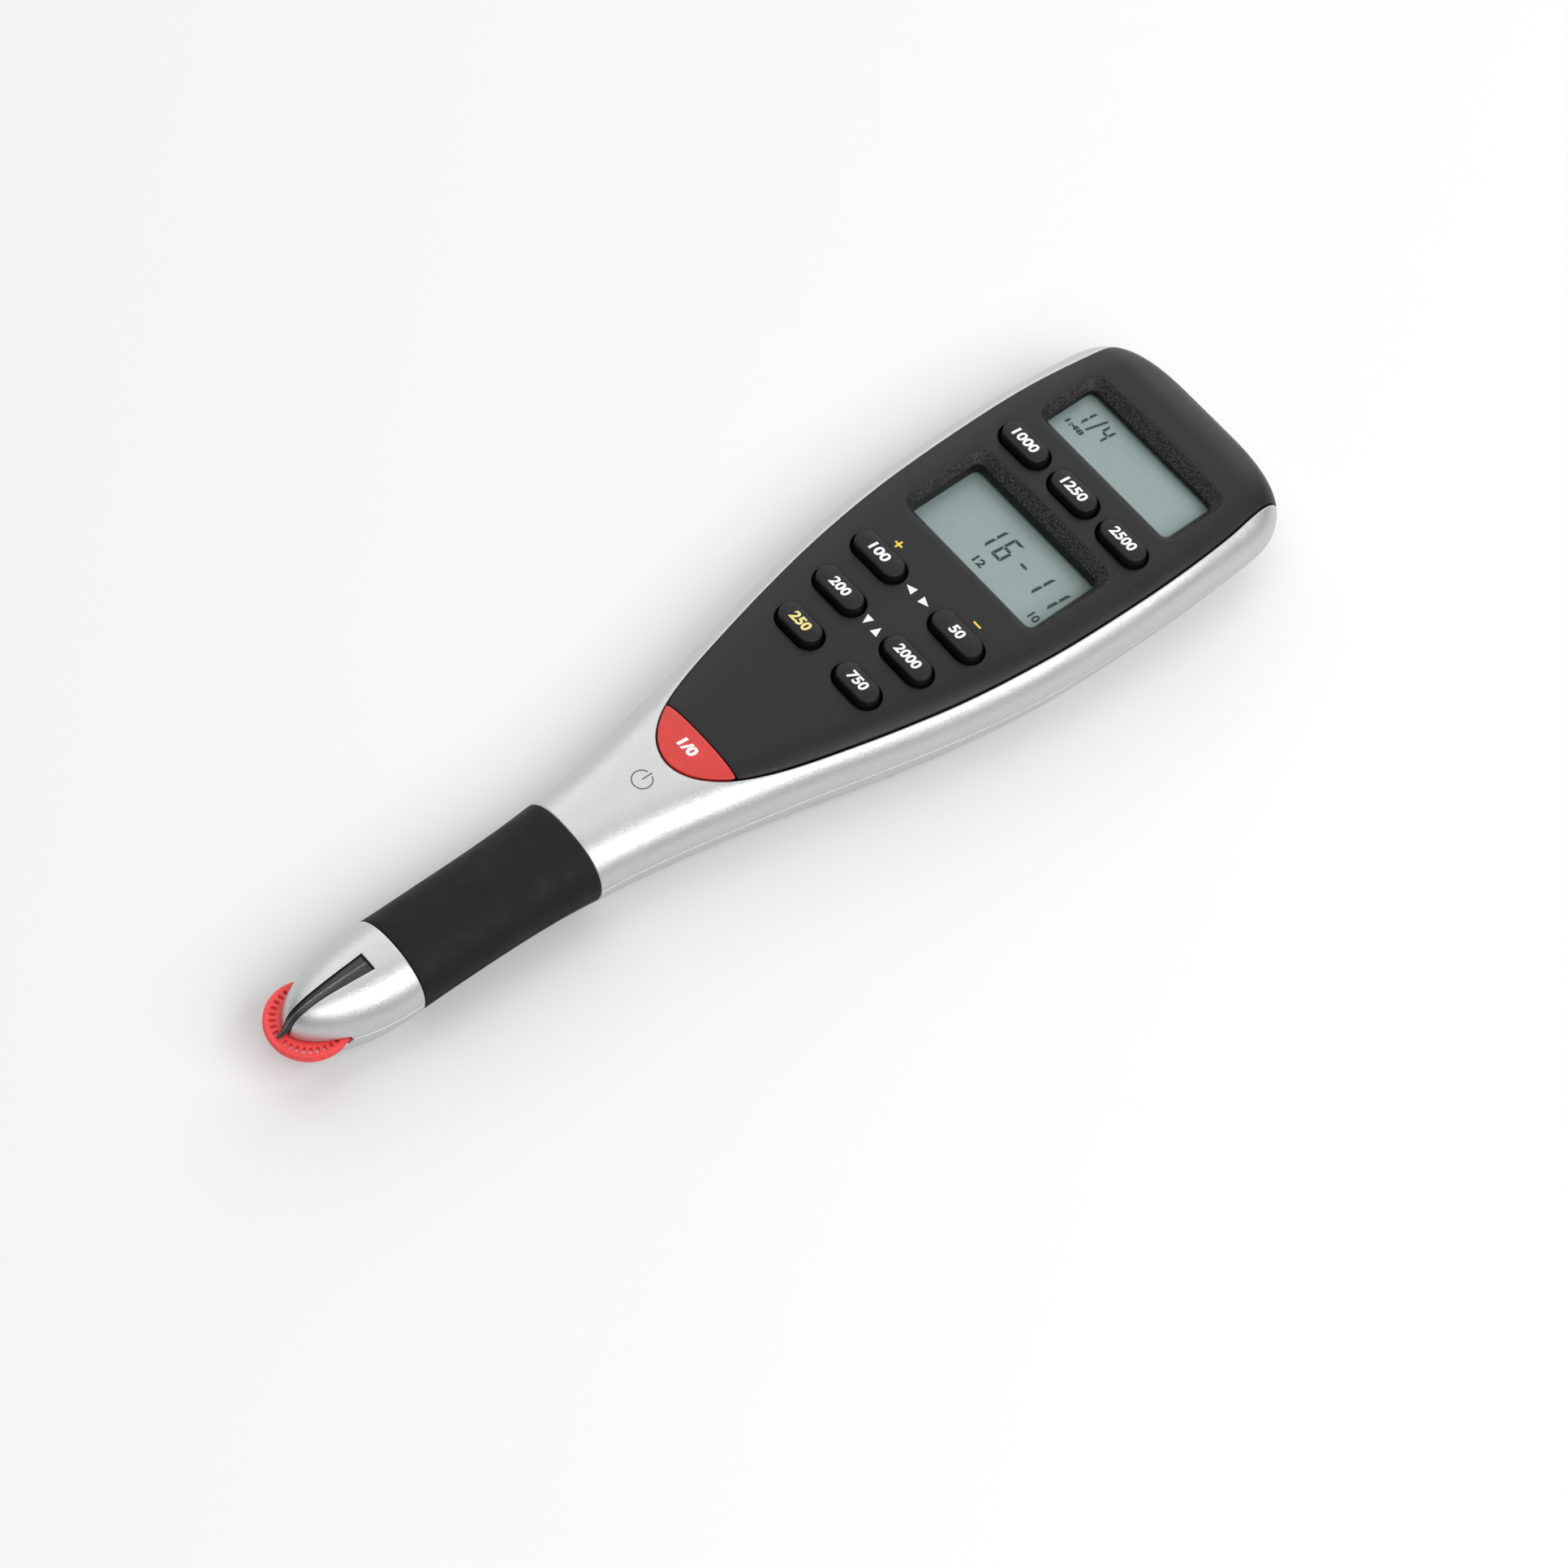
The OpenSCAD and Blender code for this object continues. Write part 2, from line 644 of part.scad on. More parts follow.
slot_in = 4.6;
slot_out = 5.65;
slot_w = 0.55;
hub_d = 5;
module encoder_wheel() {
    color(wheel_red) at(wheel_s, 0, split_z) difference() {
        union() {
            cylinder(d = wheel_d, h = wheel_t, center = true, $fn = 96);
            cylinder(d = hub_d, h = wheel_t + 0.4, center = true);
        }
        cylinder(d = axle_d + 0.08, h = 5, center = true);
        for (i = [0:slot_count - 1]) rotate([0, 0, i * 360 / slot_count])
            translate([(slot_in + slot_out) / 2, 0, 0])
            cube([slot_out - slot_in, slot_w, 5], center = true);
    }
}
module axle_pin() {
    color(metal) at(wheel_s, 0, axle_low) cylinder(d = axle_d, h = axle_l);
}

gate_from = 10;
gate_to = 17.6;
gate_w = 5.2;
gate_mouth_s = gate_from + 1.8;
gate_mouth_l = 4;
module light_gate() {
    color([0.12, 0.12, 0.13]) difference() {
        at((gate_from + gate_to) / 2, 0, split_z)
            cube([gate_w, gate_to - gate_from, gate_h], center = true);
        at(gate_mouth_s, 0, split_z)
            cube([gate_w + 1, gate_mouth_l + eps, pocket_h + 0.1], center = true);
    }
}
encoder_board_to = 40.4;
encoder_board_w = 6.4;
encoder_board_t = 0.8;
encoder_board_top = channel_floor + encoder_board_t;
module encoder_board() {
    color(board_green) at((gate_to + encoder_board_to) / 2, 0, channel_floor + encoder_board_t / 2)
        cube([encoder_board_w, encoder_board_to - gate_to, encoder_board_t], center = true);
}
// Flat wires from one board to the other, bent round the screw in the neck
ribbon_t = 0.35;
ribbon_run = [[36, encoder_board_top], [41, encoder_board_top], [50, 8.2], [60, 8.4],
              [64, board_top], [68, board_top]];
module ribbon() {
    color([0.75, 0.75, 0.72]) intersection() {
        translate([0, -length / 2, 0]) linear_extrude(20) polygon([
            [-1.2, 36], [0.7, 36], [0.7, 46], [-2.6, 55], [-2.6, 68], [-4.5, 68], [-4.5, 55], [-1.2, 46]
        ]);
        across(12) translate([-length / 2, 0]) polygon(concat(
            ribbon_run,
            [for (i = [len(ribbon_run) - 1:-1:0]) ribbon_run[i] + [0, ribbon_t]]
        ));
    }
}

cap_in = 0.7;
cap_h = 0.5;
contact_w = 6;
contact_l = 7;
bridge_w = 5;
bridge_l = 19;
bridge_t = 0.2;
module button_cell(s) {
    color(metal) at(s, 0, cell_low) {
        cylinder(d = cell_d - 2 * cap_in, h = cell_t);
        translate([0, 0, cap_h]) cylinder(d = cell_d, h = cell_t - cap_h);
    }
}
module cell_front() { button_cell(cell_front_s); }
module cell_rear() { button_cell(cell_rear_s); }
module cell_contacts() {
    color(metal) for (s = [cell_front_s, cell_rear_s])
        at(s) plate(contact_w, contact_l, 0.6, cell_low + cell_t, board_top - board_t);
}
module cell_bridge() {
    color(metal) at((cell_front_s + cell_rear_s) / 2)
        plate(bridge_w, bridge_l, 0.8, door_t, door_t + bridge_t);
}

module battery_door() {
    color(silver) at((door_from + door_to) / 2) difference() {
        plate(door_w, door_to - door_from, 1.5, 0, door_t);
        for (i = [-1:1]) translate([0, groove_pitch * i - (door_to - door_from) / 2 + 5, 0])
            cube([groove_l, groove_w, 2 * groove_d], center = true);
    }
    color(silver) for (x = [-hook_x, hook_x]) {
        at(hook_s, x, door_t + hook_leg_h / 2 - 0.7) cube([hook_w, hook_leg_t, hook_leg_h], center = true);
        at(hook_s + 1.2, x, floor_t + 0.55) cube([hook_w, hook_toe_l, hook_toe_t], center = true);
    }
}

module case_screws() {
    color(metal) for (p = screw_spots) at(p[1], p[0]) difference() {
        union() {
            translate([0, 0, screw_head_top - screw_head_t]) cylinder(d = screw_head_d, h = screw_head_t);
            translate([0, 0, screw_head_top - eps]) cylinder(d = screw_d, h = screw_l);
        }
        for (a = [0, 90]) rotate([0, 0, a])
            translate([0, 0, screw_head_top - screw_head_t])
            cube([screw_cross_l, screw_cross_w, screw_head_t], center = true);
    }
}

upper_housing();
lower_housing();
grip_upper();
grip_lower();
faceplate();
upper_window();
main_window();
upper_display();
main_display();
upper_connector();
main_connector();
keypad_mat();
for (i = [0:8]) key(i);
power_key();
main_board();
contact_pads();
board_chip();
pointer_insert();
encoder_wheel();
axle_pin();
light_gate();
encoder_board();
ribbon();
cell_front();
cell_rear();
cell_contacts();
cell_bridge();
battery_door();
case_screws();
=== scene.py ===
from math import cos, hypot, pi, radians, sin, tau

import bmesh
import bpy
import numpy as np
from mathutils import Matrix, Vector
from mathutils.geometry import delaunay_2d_cdt


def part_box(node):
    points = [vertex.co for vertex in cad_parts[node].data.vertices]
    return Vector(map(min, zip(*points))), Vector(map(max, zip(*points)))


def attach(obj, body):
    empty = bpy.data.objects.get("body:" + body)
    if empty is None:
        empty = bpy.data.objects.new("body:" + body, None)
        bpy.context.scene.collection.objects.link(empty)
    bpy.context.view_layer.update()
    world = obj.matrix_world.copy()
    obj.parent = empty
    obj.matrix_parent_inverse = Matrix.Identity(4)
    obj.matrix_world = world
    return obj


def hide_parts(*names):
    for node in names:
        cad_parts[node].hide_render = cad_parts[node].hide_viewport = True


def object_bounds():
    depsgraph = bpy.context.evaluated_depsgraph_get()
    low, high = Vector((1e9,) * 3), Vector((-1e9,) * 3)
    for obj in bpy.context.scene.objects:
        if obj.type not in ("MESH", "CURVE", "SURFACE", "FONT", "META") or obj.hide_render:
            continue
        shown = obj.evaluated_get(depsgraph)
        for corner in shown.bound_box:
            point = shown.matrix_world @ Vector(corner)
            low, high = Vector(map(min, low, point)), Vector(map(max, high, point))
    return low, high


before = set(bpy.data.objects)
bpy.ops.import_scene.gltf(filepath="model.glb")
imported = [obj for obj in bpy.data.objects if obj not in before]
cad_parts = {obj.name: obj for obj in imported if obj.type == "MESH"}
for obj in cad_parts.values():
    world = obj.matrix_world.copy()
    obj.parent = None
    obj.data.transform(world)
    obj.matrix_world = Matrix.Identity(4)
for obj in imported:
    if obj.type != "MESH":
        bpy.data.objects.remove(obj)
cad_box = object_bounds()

# Lower housing
# The back half of the case: a thin ABS moulding sprayed silver, which carries the boards, the cells
# and the screws. It is one long dish, round at the handle and flat under the head, closed at the
# parting plane by the upper half. Lengths along the tool are from the front of its wheel.
MM = 0.001
length = round((cad_box[1].y - cad_box[0].y) / MM)
handle_w, head_w, head_t, parting_z = 15.8, 45.8, 14.4, 7.6
nose_tip, nose_round, end_round = 2.4, 20, length - 14
nose_run, end_run, tip_blunt = nose_round - nose_tip, length - end_round, 0.02
nose_fullness, end_fullness = 1.9, 3.4
under_nose_from, under_nose_fullness, under_end_run, under_end_fullness = 15, 2.6, 9, 2
wall_t, nose_wall, thin_wall, thin_share = 1.2, 0.5, 0.2, 0.3
swell = [(0, 0), (30, 0), (45, 0.013), (56, 0.064), (66, 0.156), (76, 0.282), (88, 0.447), (100, 0.634),
         (113, 0.814), (127, 0.947), (140, 0.992), (153, 0.996), (164, 0.969), (length, 0.903)]
underside = [(0, 3.1), (34, 3.1), (47, 2.1), (56, 0.75), (66, 0), (length, 0)]
lower_power = [(0, 4.2), (12, 4), (17, 3.1), (21.5, 2.5), (30, 2.15), (45, 2.15), (58, 2.35), (78, 2.4),
               (95, 2.7), (110, 2.6), (122, 2.4), (140, 2.2), (160, 2.15), (length, 2)]
lower_shoulder, shoulder_share = 12, 0.96


def eased(u):
    """Goes from 0 to 1 with a soft start and a soft end."""
    return u * u * (3 - 2 * u)


def along(table, place):
    """The smooth curve through the rows (place, value) of a table."""
    at, value = np.array(table, float).T
    row = np.arange(len(at))
    before, after = np.maximum(row - 1, 0), np.minimum(row + 1, len(at) - 1)
    steep = (value[after] - value[before]) / (at[after] - at[before])
    i = np.clip(np.searchsorted(at, place, side="right") - 1, 0, len(at) - 2)
    step = at[i + 1] - at[i]
    u = (place - at[i]) / step
    ease = eased(u)
    bend = u * (1 - u) * step * ((1 - u) * steep[i] - u * steep[i + 1])
    return (1 - ease) * value[i] + ease * value[i + 1] + bend


def closing(t, power):
    """1 where an end starts to round, falling to 0 at its very tip."""
    return np.maximum(1 - np.clip(t, 0, 1) ** power, 0) ** (1 / power)


def half_width(s):
    """Half the width of the case, rounded off at both ends."""
    widest = (handle_w + (head_w - handle_w) * along(swell, s)) / 2
    nose = closing((nose_round - s) / (nose_run + tip_blunt), nose_fullness)
    return widest * nose * closing((s - end_round) / end_run, end_fullness)


def rounded_ends(full, s, nose_from, nose_power, end_from_back, end_power):
    """A height that closes over both ends of the case."""
    nose = closing((nose_from - s) / (nose_from - nose_tip + tip_blunt), nose_power)
    return full * nose * closing((s - length + end_from_back) / end_from_back, end_power)


def depth(s):
    """How far the lower half reaches below the parting plane."""
    full = parting_z - np.maximum(0, along(underside, s))
    return rounded_ends(full, s, under_nose_from, under_nose_fullness, under_end_run, under_end_fullness)


def place_of(p):
    """The length at p, which runs evenly over the skin of the round nose and the round end too."""
    nose = nose_round - nose_run * np.sin(np.clip((nose_round - p) / nose_run, 0, pi / 2))
    end = end_round + end_run * np.sin(np.clip((p - end_round) / end_run, 0, pi / 2))
    return np.where(p < nose_round, nose, np.where(p > end_round, end, p))


def path_of(s):
    """The place p of a length, the reverse of place_of."""
    nose = nose_round - nose_run * np.arcsin(np.clip((nose_round - s) / nose_run, 0, 1))
    end = end_round + end_run * np.arcsin(np.clip((s - end_round) / end_run, 0, 1))
    return np.where(s < nose_round, nose, np.where(s > end_round, end, s))


class Surface:
    """A surface whose points have a place q across it and a place p along it."""

    def spot(self, x, y):
        return x, y

    def normal(self, q, p, small=0.02):
        over = self.point(q + small, p) - self.point(q - small, p)
        on = self.point(q, p + small) - self.point(q, p - small)
        found = np.cross(over, on)
        return found / np.maximum(np.linalg.norm(found, axis=-1, keepdims=True), 1e-12)


class Skin(Surface):
    """The outer skin of one half of the case; up is 1 for the upper half and -1 for the lower."""

    def __init__(self, height, shoulder, power, crown, up, lift=0):
        self.height, self.shoulder, self.power = height, shoulder, power
        self.crown, self.up, self.lift = crown, up, lift

    def section(self, s):
        wide = np.maximum(half_width(s), 1e-4)
        corner = np.minimum(self.shoulder(s), shoulder_share * wide)
        return wide, wide - corner, corner, self.power(s), self.height(s)

    def point(self, q, p):
        s = place_of(p)
        wide, flat, corner, power, high = self.section(s)
        turn = np.clip((abs(q) - flat) / corner, 0, pi / 2)
        x = np.where(abs(q) < flat, abs(q), flat + corner * np.sin(turn) ** (2 / power))
        z = high * np.maximum(np.cos(turn), 0) ** (2 / power) * (1 - self.crown * (2 * x / head_w) ** 2)
        return np.stack([self.up * x * np.sign(q), s - length / 2, parting_z + self.up * z + self.lift], -1)

    def spot(self, x, s):
        p = path_of(s)
        wide, flat, corner, power, high = self.section(s)
        turn = np.arcsin(np.clip((abs(x) - flat) / corner, 0, 1) ** (power / 2))
        return self.up * np.sign(x) * np.where(abs(x) < flat, abs(x), flat + corner * turn), p

    def edge(self, z, p):
        """The place q at which the skin is z away from the parting plane."""
        wide, flat, corner, power, high = self.section(place_of(p))
        near = high * (1 - self.crown * (2 * wide / head_w) ** 2)
        return flat + corner * np.arccos(np.clip(z / near, 0, 1) ** (power / 2))


lower = Skin(depth, lambda s: np.full_like(s, lower_shoulder), lambda s: along(lower_power, s), 0, -1)


def evenly(points, step):
    """An open line with its points about one step apart."""
    points = np.array(points, float)
    run = np.r_[0, np.cumsum(np.linalg.norm(np.diff(points, axis=0), axis=1))]
    keep = np.linspace(0, run[-1], max(2, round(run[-1] / step) + 1))
    return np.stack([np.interp(keep, run, points[:, k]) for k in (0, 1)], -1)


def filled(corners, step):
    """A closed outline with further points on its long straight edges."""
    found = []
    for a, b in zip(corners, np.roll(corners, -1, axis=0)):
        reach = hypot(*(b - a)[:2])
        count = max(1, round(reach / step)) if reach > 1e-4 else 0
        found += [a + (b - a) * k / count for k in range(count)]
    return np.array(found)


def round_rect(wide, long, corner, steps=5):
    """The corner points of a rectangle with round corners, clockwise."""
    turns = np.linspace(0, pi / 2, steps + 1)
    points = []
    for sx, sy, first in [(1, 1, pi / 2), (1, -1, 0), (-1, -1, -pi / 2), (-1, 1, -pi)]:
        middle = np.array([sx * (wide / 2 - corner), sy * (long / 2 - corner)])
        points += [middle + corner * np.array([cos(first - t), sin(first - t)]) for t in turns]
    return np.array(points)


def rect_line(wide, long, corner, step, steps=5):
    """The same rectangle with further points on its straight sides, about one step apart."""
    return filled(round_rect(wide, long, corner, steps), step)


def inside(points, loops):
    """Which points lie inside an odd number of the loops."""
    found = np.zeros(len(points), bool)
    for loop in loops:
        for (ax, ay), (bx, by) in zip(loop, np.roll(loop, -1, axis=0)):
            if ay != by:
                cut = ax + (points[:, 1] - ay) * (bx - ax) / (by - ay)
                found ^= ((ay > points[:, 1]) != (by > points[:, 1])) & (points[:, 0] < cut)
    return found


def rounded_edge(radius, wall, steps=3, shade=0, draft=0.0):
    """Rings that round an edge over and take it down to the wall's depth, drawn in there by the draft."""
    def rings(rim, out, up):
        turns = [pi / 2 * (k + 1) / steps for k in range(steps)]
        found = [rim + out * radius * sin(t) - up * radius * (1 - cos(t)) for t in turns]
        return found + [rim + out * (radius - draft) - up * wall], [0] * steps + [shade]
    return rings


def moulding(surface, loops, wall, grid):
    """A moulded wall on a surface, with outer skin, edges and inner skin, as points, faces and paint.

    Each loop is an outline in (q, p) that has the wall on its left, and the rings of its edge."""
    outlines = [np.array(outline, float) for outline, rings in loops]
    rim_points = np.concatenate(outlines)
    low, high = outlines[0].min(0), outlines[0].max(0)
    lines = [np.arange(low[k] + grid / 2, high[k], grid) for k in (0, 1)]
    field = np.stack([g.ravel() for g in np.meshgrid(*lines)], -1)
    field = field[inside(field, outlines)]
    clear = np.full(len(field), np.inf)
    for rim_point in rim_points:
        clear = np.minimum(clear, ((field - rim_point) ** 2).sum(1))
    nearest = 0.55 * grid
    points = np.concatenate([rim_points, field[clear > nearest ** 2]])
    edges, start = [], 0
    for outline in outlines:
        edges += [(start + k, start + (k + 1) % len(outline)) for k in range(len(outline))]
        start += len(outline)
    found = delaunay_2d_cdt([Vector(p) for p in points], edges, [], 0, 1e-7)
    index = np.array([source[0] if source else -1 for source in found[3]])
    triangles = index[np.array(found[2])]
    triangles = triangles[(triangles >= 0).all(1)]
    triangles = triangles[inside(points[triangles].mean(1), outlines)]
    a, b, c = (points[triangles[:, k]] for k in range(3))
    turned = (b[:, 0] - a[:, 0]) * (c[:, 1] - a[:, 1]) < (b[:, 1] - a[:, 1]) * (c[:, 0] - a[:, 0])
    triangles[turned] = triangles[turned][:, ::-1]
    q, p = points.T
    outer, up = surface.point(q, p), surface.normal(q, p)
    thick = wall(place_of(p)) if callable(wall) else np.full(len(p), float(wall))
    count = len(points)
    verts = [outer, outer - up * thick[:, None]]
    faces = triangles.tolist() + (count + triangles[:, ::-1]).tolist()
    paint = [0] * len(faces)
    total, start = 2 * count, 0
    for outline, (_, rings) in zip(outlines, loops):
        n = len(outline)
        rim, top = outer[start:start + n], up[start:start + n]
        out = np.cross(np.roll(rim, -1, axis=0) - np.roll(rim, 1, axis=0), top)
        out /= np.maximum(np.linalg.norm(out, axis=1, keepdims=True), 1e-9)
        levels, shades = rings(rim, out, top)
        rows = [range(start, start + n)]
        for level in levels:
            verts.append(level)
            rows.append(range(total, total + n))
            total += n
        rows.append(range(count + start, count + start + n))
        for above, below, shade in zip(rows, rows[1:], shades + [0]):
            faces += [[above[(k + 1) % n], above[k], below[k], below[(k + 1) % n]] for k in range(n)]
            paint += [shade] * n
        start += n
    return np.concatenate(verts), faces, paint


def placed(name, data):
    """A new object at the origin of the scene."""
    made = bpy.data.objects.new(name, data)
    bpy.context.scene.collection.objects.link(made)
    return made


def piece(name, parts, materials, body, replaced=(), smooth=35):
    """A finished object made of parts in millimetres, on its body and in place of its CAD parts."""
    verts, faces, paint, total = [], [], [], 0
    for points, part_faces, part_paint in parts:
        verts.append(np.asarray(points, float) * MM)
        faces += [[int(k) + total for k in f] for f in part_faces]
        paint += list(part_paint)
        total += len(points)
    mesh = bpy.data.meshes.new(name)
    mesh.from_pydata(np.concatenate(verts).tolist(), [], faces)
    for material in materials:
        mesh.materials.append(material)
    mesh.polygons.foreach_set("material_index", paint)
    joined = bmesh.new()
    joined.from_mesh(mesh)
    loose = [v for v in joined.verts if not v.link_faces]
    bmesh.ops.delete(joined, geom=loose, context="VERTS")
    bmesh.ops.remove_doubles(joined, verts=joined.verts, dist=2e-8)
    joined.to_mesh(mesh)
    joined.free()
    mesh.validate()
    mesh.shade_smooth()
    mesh.set_sharp_from_angle(angle=radians(smooth))
    made = placed(name, mesh)
    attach(made, body)
    if replaced:
        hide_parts(*replaced)
    return made


def set_inputs(node, values):
    """Sets the values of a node's inputs, by name or number."""
    for socket, value in values.items():
        node.inputs[socket].default_value = value


def new_node(tree, kind, **values):
    """A new node with its inputs set."""
    node = tree.nodes.new(kind)
    set_inputs(node, values)
    return node


def finish(name, colour, roughness, metallic=0.0, specular=0.5):
    """A new material with its even values, ready for patterns on the piece's own positions."""
    made = bpy.data.materials.new(name)
    made.use_nodes = True
    values = {"Base Color": (*colour, 1), "Roughness": roughness, "Metallic": metallic}
    set_inputs(made.node_tree.nodes["Principled BSDF"], values | {"Specular IOR Level": specular})
    made.node_tree.nodes.new("ShaderNodeTexCoord")
    return made


def pattern(material, size, stretch=(1, 1, 1), kind="Noise", output="Fac", **settings):
    """The value of a texture whose cells or waves have the given size in millimetres."""
    tree = material.node_tree
    node = new_node(tree, "ShaderNodeTex" + kind, Scale=1 / (size * MM), **settings)
    place = new_node(tree, "ShaderNodeMapping", Scale=stretch)
    tree.links.new(tree.nodes["Texture Coordinate"].outputs["Object"], place.inputs["Vector"])
    tree.links.new(place.outputs["Vector"], node.inputs["Vector"])
    return node.outputs[output]


def spread(material, source, low, high, socket, start=0.3, end=0.7):
    """Maps a pattern's value onto one of the shader's sockets, between two values or colours."""
    tree = material.node_tree
    ramp = new_node(tree, "ShaderNodeMapRange", **{"From Min": start, "From Max": end})
    tree.links.new(source, ramp.inputs["Value"])
    target = tree.nodes["Principled BSDF"].inputs[socket]
    if isinstance(low, tuple):
        mix = tree.nodes.new("ShaderNodeMix")
        mix.data_type = "RGBA"
        colours = [s for s in mix.inputs if s.type == "RGBA"]
        colours[0].default_value, colours[1].default_value = (*low, 1), (*high, 1)
        tree.links.new(ramp.outputs["Result"], mix.inputs[0])
        tree.links.new([s for s in mix.outputs if s.type == "RGBA"][0], target)
    else:
        set_inputs(ramp, {"To Min": low, "To Max": high})
        tree.links.new(ramp.outputs["Result"], target)


def relief(material, source, height):
    """Raises the surface by a pattern, up to a height in millimetres, on top of earlier relief."""
    tree = material.node_tree
    normal = tree.nodes["Principled BSDF"].inputs["Normal"]
    bump = new_node(tree, "ShaderNodeBump", Strength=1.0, Distance=height * MM)
    if normal.is_linked:
        tree.links.new(normal.links[0].from_socket, bump.inputs["Normal"])
    tree.links.new(source, bump.inputs["Height"])
    tree.links.new(bump.outputs["Normal"], normal)


def silver_paint():
    """Sprayed silver: metal flakes that lie at slightly different angles in a satin lacquer."""
    made = finish("silver_paint", (0.56, 0.57, 0.57), 0.34, metallic=0.75)
    tree, tilt_range = made.node_tree, 0.14
    flakes = pattern(made, 0.1, kind="Voronoi", output="Color")
    tilt, leaning, level = (tree.nodes.new("ShaderNodeVectorMath") for _ in range(3))
    tilt.operation, level.operation = "MULTIPLY_ADD", "NORMALIZE"
    set_inputs(tilt, {1: [tilt_range] * 3, 2: [-tilt_range / 2] * 3})
    surface = tree.nodes.new("ShaderNodeNewGeometry")
    tree.links.new(flakes, tilt.inputs[0])
    tree.links.new(tilt.outputs[0], leaning.inputs[0])
    tree.links.new(surface.outputs["Normal"], leaning.inputs[1])
    tree.links.new(leaning.outputs[0], level.inputs[0])
    tree.links.new(level.outputs[0], tree.nodes["Principled BSDF"].inputs["Normal"])
    spread(made, pattern(made, 9, Detail=4), 0.37, 0.43, "Roughness")
    spread(made, pattern(made, 0.15), (0.51, 0.515, 0.515), (0.61, 0.615, 0.615), "Base Color")
    return made


silver = silver_paint()

edge_r, half_gap = 0.16, 0.03
grip_from, grip_to = 21.5, 53.3
wheel_low, wheel_high = (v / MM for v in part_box("encoder_wheel"))
wheel_x, wheel_y, wheel_z = (wheel_low + wheel_high) / 2
wheel_r = (wheel_high.x - wheel_low.x) / 2
pocket_r, pocket_half, pocket_ramp = wheel_r + 0.45, 0.95, 0.5


def seam(skin, p):
    """The place q of the edge at the parting plane, which steps back over the wheel's pocket."""
    plain = skin.point(skin.edge(edge_r + half_gap, p), p)
    beyond = np.hypot(plain[:, 0] - wheel_x, plain[:, 1] - wheel_y) - pocket_r
    share = eased(np.clip(0.5 - beyond / pocket_ramp, 0, 1))
    return skin.edge(edge_r + half_gap + (pocket_half - half_gap) * share, p)


def side_edge(skin, start, end, step=0.8):
    """The edge on one side of a stretch of the case, as a line in (q, p)."""
    p = np.linspace(path_of(start), path_of(end), int((path_of(end) - path_of(start)) / step) + 2)
    return np.stack([seam(skin, p), p], -1)


def band(skin, start, end, step=0.8):
    """The outline of a stretch of one half, from one side's edge to the other's."""
    side = side_edge(skin, start, end, step)
    other = side[::-1] * [-1, 1]
    return np.concatenate([evenly([other[-1], side[0]], step)[:-1], side[:-1],
                           evenly([side[-1], other[0]], step)[:-1], other[:-1]])


def opening(skin, outline, x, s):
    """A clockwise outline round a place on the case, as a hole in its skin."""
    return np.stack(skin.spot(outline[:, 0] + x, outline[:, 1] + s), -1)[::skin.up]


def wall_at(s):
    """The wall is thinner where the case is narrow."""
    return np.clip(thin_share * half_width(s), thin_wall, wall_t)


def tube(rings, paint=lambda ring, side: 0):
    """A closed part with flat ends through rings of points, anticlockwise as seen from the last ring."""
    n, last = len(rings[0]), len(rings) - 1
    places = [(r, k) for r in range(last) for k in range(n)]
    faces = [[r * n + k, r * n + (k + 1) % n, (r + 1) * n + (k + 1) % n, (r + 1) * n + k] for r, k in places]
    faces += [list(range(n))[::-1], [last * n + k for k in range(n)]]
    return np.concatenate(rings), faces, [paint(r, k) for r, k in places] + [0, 0]


def barrel(skin, recess=wall_t + 0.02, overlap=1.0, rows=24, across=19):
    """The plain half tube under the grip, which joins the nose to the neck."""
    rings = []
    for place in np.linspace(grip_from - overlap, grip_to + overlap, rows):
        reach = skin.edge(half_gap, np.array([place]))[0]
        q, p = np.linspace(-reach, reach, across), np.full(across, place)
        outside, up = skin.point(q, p), skin.normal(q, p)
        rings.append(np.concatenate([outside - up * recess, (outside - up * (recess + wall_t))[::-1]]))
    return tube(rings)


class Level(Surface):
    """A level face round a place on the tool; up is -1 for one that is seen from below."""

    def __init__(self, x, s, z, up=1):
        self.at, self.up = np.array([x, s - length / 2, z], float), up

    def point(self, q, p):
        return self.at + np.stack([self.up * q, p, 0 * q], -1)


def plate(face, outline, edge, thick, holes=(), grid=1.6):
    """A level plate with rounded edges; the outline is its full size, clockwise."""
    middle = outline.mean(0)
    smaller = (outline - middle) * (1 - edge / (abs(outline - middle).max(0))) + middle
    return moulding(face, [(smaller[::-1], rounded_edge(edge, thick))] + list(holes), thick, grid)


screw_spots = [(-13.5, 172.6), (13.5, 172.6), (-8, 91), (8, 91), (0, 60)]
screw_bore, screw_floor, screw_head_t = 4.0, 2.2, 1.2
door_low, door_high = (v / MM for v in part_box("battery_door"))
door_w, door_t, door_corner, door_gap, lip = door_high.x - door_low.x, 1.2, 1.5, 0.15, 0.15
door_from, door_to = door_low.y + length / 2, 129.6
door_mid, door_l = (door_from + door_to) / 2, door_to - door_from
bay_from, bay_to, bay_w, bay_deep = 100.9, 127.4, 12.6, 5.6
hook_x, notch_w, notch_to = 4, 3.2, 129.1
recess_w, recess_l = door_w + 2 * door_gap, door_l + 2 * door_gap
recess_corner, recess_deep = 1.6, door_t + 0.1
ledge, ledge_corner, ledge_z, ledge_t, ledge_edge = 0.5, 2, door_t + 0.05, 0.95, 0.1
joint_gap, nose_start, end_stop = 0.05, 2.53, length - 0.003

